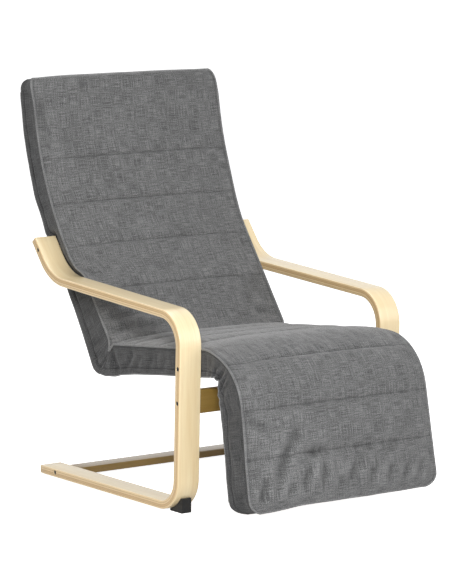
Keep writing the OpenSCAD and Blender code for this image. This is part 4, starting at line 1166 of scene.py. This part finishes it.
def seat_side(a, v, down, side):
    """Folds beside the crease, gathers behind the knee and looser cloth on the footrest."""
    out = folds_at(a - (0 if side < 0 else 6), down, SEAT_SIDE_FOLDS)
    t = (a - KNEE_AT) / KNEE_LEN
    if -0.2 < t < 1.4:
        ply = sin(2 * pi * (t * 7.5 + 0.9 * rumple(t * 4, v * 1.5, 21 + side)))
        out += (ply * 7.5 - 3.0) * bell(t - 0.52, 0.26) * v ** 1.2
    if t > 1.0:
        out += 2.4 * rumple(a / 34, v * 2.6, 31 + side) - 0.8
    return out


PRESSURE, MOST_MOVED, CLOTH_FRAMES = 4.0, 14.0, 20
CLOTH = {
    "quality": 5, "mass": 0.02, "vertex_group_mass": "held",
    "tension_stiffness": 12.0, "compression_stiffness": 12.0, "shear_stiffness": 3.0,
    "bending_stiffness": 0.25, "use_pressure": True, "uniform_pressure_force": PRESSURE,
    "shrink_min": -0.015,
}


def puffed(obj, rows, sewn):
    """The filling presses the cover out between its sewn lines, which stay where they are."""
    before = coords(obj)
    free = np.zeros(len(before), bool)
    for i in range(3, rows - 2):
        if i not in sewn:
            row = free[i * RING_N:(i + 1) * RING_N]
            row[1:TOP_N] = row[TOP_N + 1:R_HEM - 1] = row[R_HEM_L + 2:] = True
    held = obj.vertex_groups.new(name="held")
    held.add([int(v) for v in np.nonzero(~free)[0]], 1.0, "REPLACE")
    cloth = obj.modifiers.new("Cloth", "CLOTH")
    for key, value in CLOTH.items():
        setattr(cloth.settings, key, value)
    cloth.settings.effector_weights.gravity = 0.0
    cloth.collision_settings.use_collision = False
    cloth.point_cache.frame_start, cloth.point_cache.frame_end = 1, CLOTH_FRAMES
    scene = bpy.context.scene
    for frame_no in range(1, CLOTH_FRAMES + 1):
        scene.frame_set(frame_no)
    applied(obj)
    scene.frame_set(1)
    obj.vertex_groups.clear()
    # No point moves by more than the cap, and none of a side wall moves inward
    moved = coords(obj) - before
    loft = rows * RING_N
    outward, x = np.sign(before[:loft, 0]), moved[:loft, 0]
    walls = np.arange(loft) % RING_N > TOP_N
    moved[:loft, 0] = np.where(walls, outward * np.maximum(0, outward * x), x)
    size, cap = np.linalg.norm(moved, axis=1)[:, None], MOST_MOVED * MM
    set_coords(obj, before + moved * cap / (cap + size))


PADS = {}
for name, stations, sewn, top_extra, side_extra, bulge, out_dir, seed in (
        ("back", BACK_ST, BACK_SEWN, back_top, back_side, 5.0,
         on_rail(RAIL_LEN) - on_rail(RAIL_LEN - 1), 3.0),
        ("seat_footrest", SEAT_ST, SEAT_SEWN, seat_top, seat_side, 4.0,
         on_foot(0) - on_foot(1), 40.0)):
    smooth, run = pad_grid(stations, plain=True), edge_run(stations)
    pad = build_pad(name + "_cover", stations, smooth, bulge, out_dir)
    puffed(pad, len(stations), sewn)
    shape, painted_shading = wrinkled(pad_grid(stations), stations, run, run[sewn], top_extra, side_extra,
                             seed)
    shape += coords(pad)[:smooth.size // 3].reshape(smooth.shape) / MM - smooth
    set_coords(pad, np.vstack([shape.reshape(-1, 3), end_cap(shape, bulge, out_dir)]) * MM)
    # The painted shade and painted highlight go into an attribute of the cover; the closed end gets
    # none
    painted_shading_data = pad.data.attributes.new("painted_shading", "FLOAT", "POINT").data
    flat_cap = np.zeros(len(painted_shading_data) - painted_shading.size)
    painted_shading_data.foreach_set("value", np.concatenate([painted_shading.ravel(), flat_cap]))
    PADS[name] = (modify(pad, "SUBSURF", levels=1, render_levels=1), shape, sewn)


# ---------------------------------------------------------------- piping and stitches
def tube(name, points, radius, mat, seg=8):
    """A round cord of fabric along points in millimetres, with its weave running along it."""
    pts, run = np.asarray(points, float), run_of(points)
    tangent = np.gradient(pts, axis=0)
    tangent /= np.linalg.norm(tangent, axis=1)[:, None]
    verts, coord = [], []
    side = np.cross(tangent[0], (0.31, 0.83, 0.46))
    for p, axis, at in zip(pts, tangent, run):
        side = unit(side - axis * np.dot(side, axis))
        verts += circle(p, side, np.cross(axis, side), radius, seg)
        coord += [(at * MM, a * radius * MM, 0) for a in turns(seg)]
    obj = make_mesh(name, verts, loft_faces(len(pts), seg), mat)
    set_vectors(obj, "weave", coord)
    return obj


def edge_line(shape, push):
    """The line of the piping: along both upper edges and across the closed end."""
    near = shape[:, 0] - (push, 0, 0)
    far = shape[:, TOP_N] + (push, 0, 0)
    return np.vstack([near, shape[-1, 1:TOP_N], far[::-1]])


def at_run(at, run, points):
    """The points of a line at distances along it."""
    return np.stack([np.interp(at, run, points[:, c]) for c in range(3)], -1)


def resampled(points, step):
    points, run = np.asarray(points, float), run_of(points)
    return at_run(np.arange(step, run[-1] - step, step), run, points)


def stitches(name, obj, lines, pitch=5.5, share=0.72, r=0.6, sides=5):
    """Sewn lines: short threads that lie on the cover's surface, sunk and thin at both ends."""
    tree = BVHTree.FromObject(obj, bpy.context.evaluated_depsgraph_get())
    verts, faces, coord = [], [], []
    for line in lines:
        points = resampled(line, pitch)
        for p, q in zip(points, points[1:]):
            mids = []
            for t, rise in ((0.0, -0.1), (0.5, 0.35), (1.0, -0.1)):
                at, normal, _, _ = tree.find_nearest(Vector((p + (q - p) * share * t) * MM))
                mids.append(np.array(at) / MM + np.array(normal) * rise)
            along = mids[2] - mids[0]
            if np.linalg.norm(along) < 1.0:
                continue
            side = unit(np.cross(along, np.array(normal)))
            up = unit(np.cross(side, along))
            base = len(verts)
            faces += loft_faces(3, sides, base)
            for c, size in zip(mids, (0.45, 1.0, 0.45)):
                verts += circle(c, side, up, r * size, sides)
                coord += [(base * MM, k * MM, 0) for k in range(sides)]
    # The threads' dark colour is partly their own and partly painted shade of the seams' grooves
    out = make_mesh(name, verts, faces, THREAD_WITH_SEAM_SHADE)
    set_vectors(out, "weave", coord)
    return out


def on_surface(obj, line):
    """The points of the cover's surface that are nearest to a line's points."""
    tree = BVHTree.FromObject(obj, bpy.context.evaluated_depsgraph_get())
    return [np.array(tree.find_nearest(Vector(p * MM))[0]) / MM for p in line]


def side_line(shape, side, from_edge=None, from_hem=None):
    """A line on the gusset at a distance from the piping or from the hem."""
    out = []
    for row in shape:
        wall = row[TOP_N:R_HEM + 1] if side > 0 else np.vstack([row[:1], row[:R_HEM_L - 1:-1]])
        run = run_of(wall)
        out.append(at_run(from_edge if from_hem is None else run[-1] - from_hem, run, wall))
    return out


COVERED = {"back": ["back_cushion"], "seat_footrest": ["seat_cushion", "footrest_cushion"]}
for name, (pad, shape, sewn) in PADS.items():
    piping = tube(name + "_piping", edge_line(shape, 0.6), 2.7, PIPING)
    bindings = [tube(f"{name}_hem_{tag}", on_surface(pad, shape[2:-7, row]), 1.8, PIPING)
                for tag, row in (("left", R_HEM), ("right", R_HEM_L))]
    lines = [shape[i, 1:TOP_N] for i in sewn]
    for side in (-1, 1):
        lines.append(side_line(shape[3:-4], side, from_edge=9.0))
        lines.append(side_line(shape[3:-4], side, from_hem=12.0))
    threads = stitches(name + "_stitches", pad, lines)
    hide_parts(*COVERED[name])
    for piece in (pad, piping, threads, *bindings):
        if name == "back":
            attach(piece, "chair")
        else:
            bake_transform(piece)


# ---------------------------------------------------------------- pocket behind the head
POCKET_DEEP, POCKET_HALF, POCKET_THICK, POCKET_GAP = 176, 261.5, 2.6, 0.4
HEM_ROLL, HEM_SHARE = 0.9, 0.07


def pocket(rows=26, cols=60):
    """Two layers of lining that sag a little between the rails, with a rolled hem below."""
    verts, faces, coord = [], [], []
    for side in (0, 1):
        for i in range(rows + 1):
            t = i / rows
            d = RAIL_LEN + 8 - POCKET_DEEP * (1 - t)
            roll = (HEM_ROLL if t < HEM_SHARE else 0) * (1 if side else -0.2)
            for k in range(cols + 1):
                u = 2 * k / cols - 1
                sag = 2.2 * (1 - t) ** 2 * (1 - u * u) * (1 + 0.35 * sin(9 * u))
                n = HEM_LOW + POCKET_GAP + POCKET_THICK * side + roll - 0.3 * sag
                verts.append((u * POCKET_HALF, *on_rail(d + 1.5 * sag, n)))
                coord.append((d * MM, u * POCKET_HALF * MM, 0))
    w = cols + 1
    base = (rows + 1) * w
    for i in range(rows):
        for k in range(cols):
            a = i * w + k
            faces.append((a, a + w, a + w + 1, a + 1))
            faces.append((base + a, base + a + 1, base + a + w + 1, base + a + w))
    rim = [*range(w), *(i * w + cols for i in range(1, rows + 1))]
    rim += [rows * w + k for k in range(cols - 1, -1, -1)]
    rim += [i * w for i in range(rows - 1, 0, -1)]
    for a, b in zip(rim, rim[1:] + rim[:1]):
        faces.append((a, b, base + b, base + a))
    obj = make_mesh("head_pocket_cloth", verts, faces, LINING)
    set_vectors(obj, "weave", coord)
    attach(obj, "chair")
    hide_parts("head_pocket")


pocket()
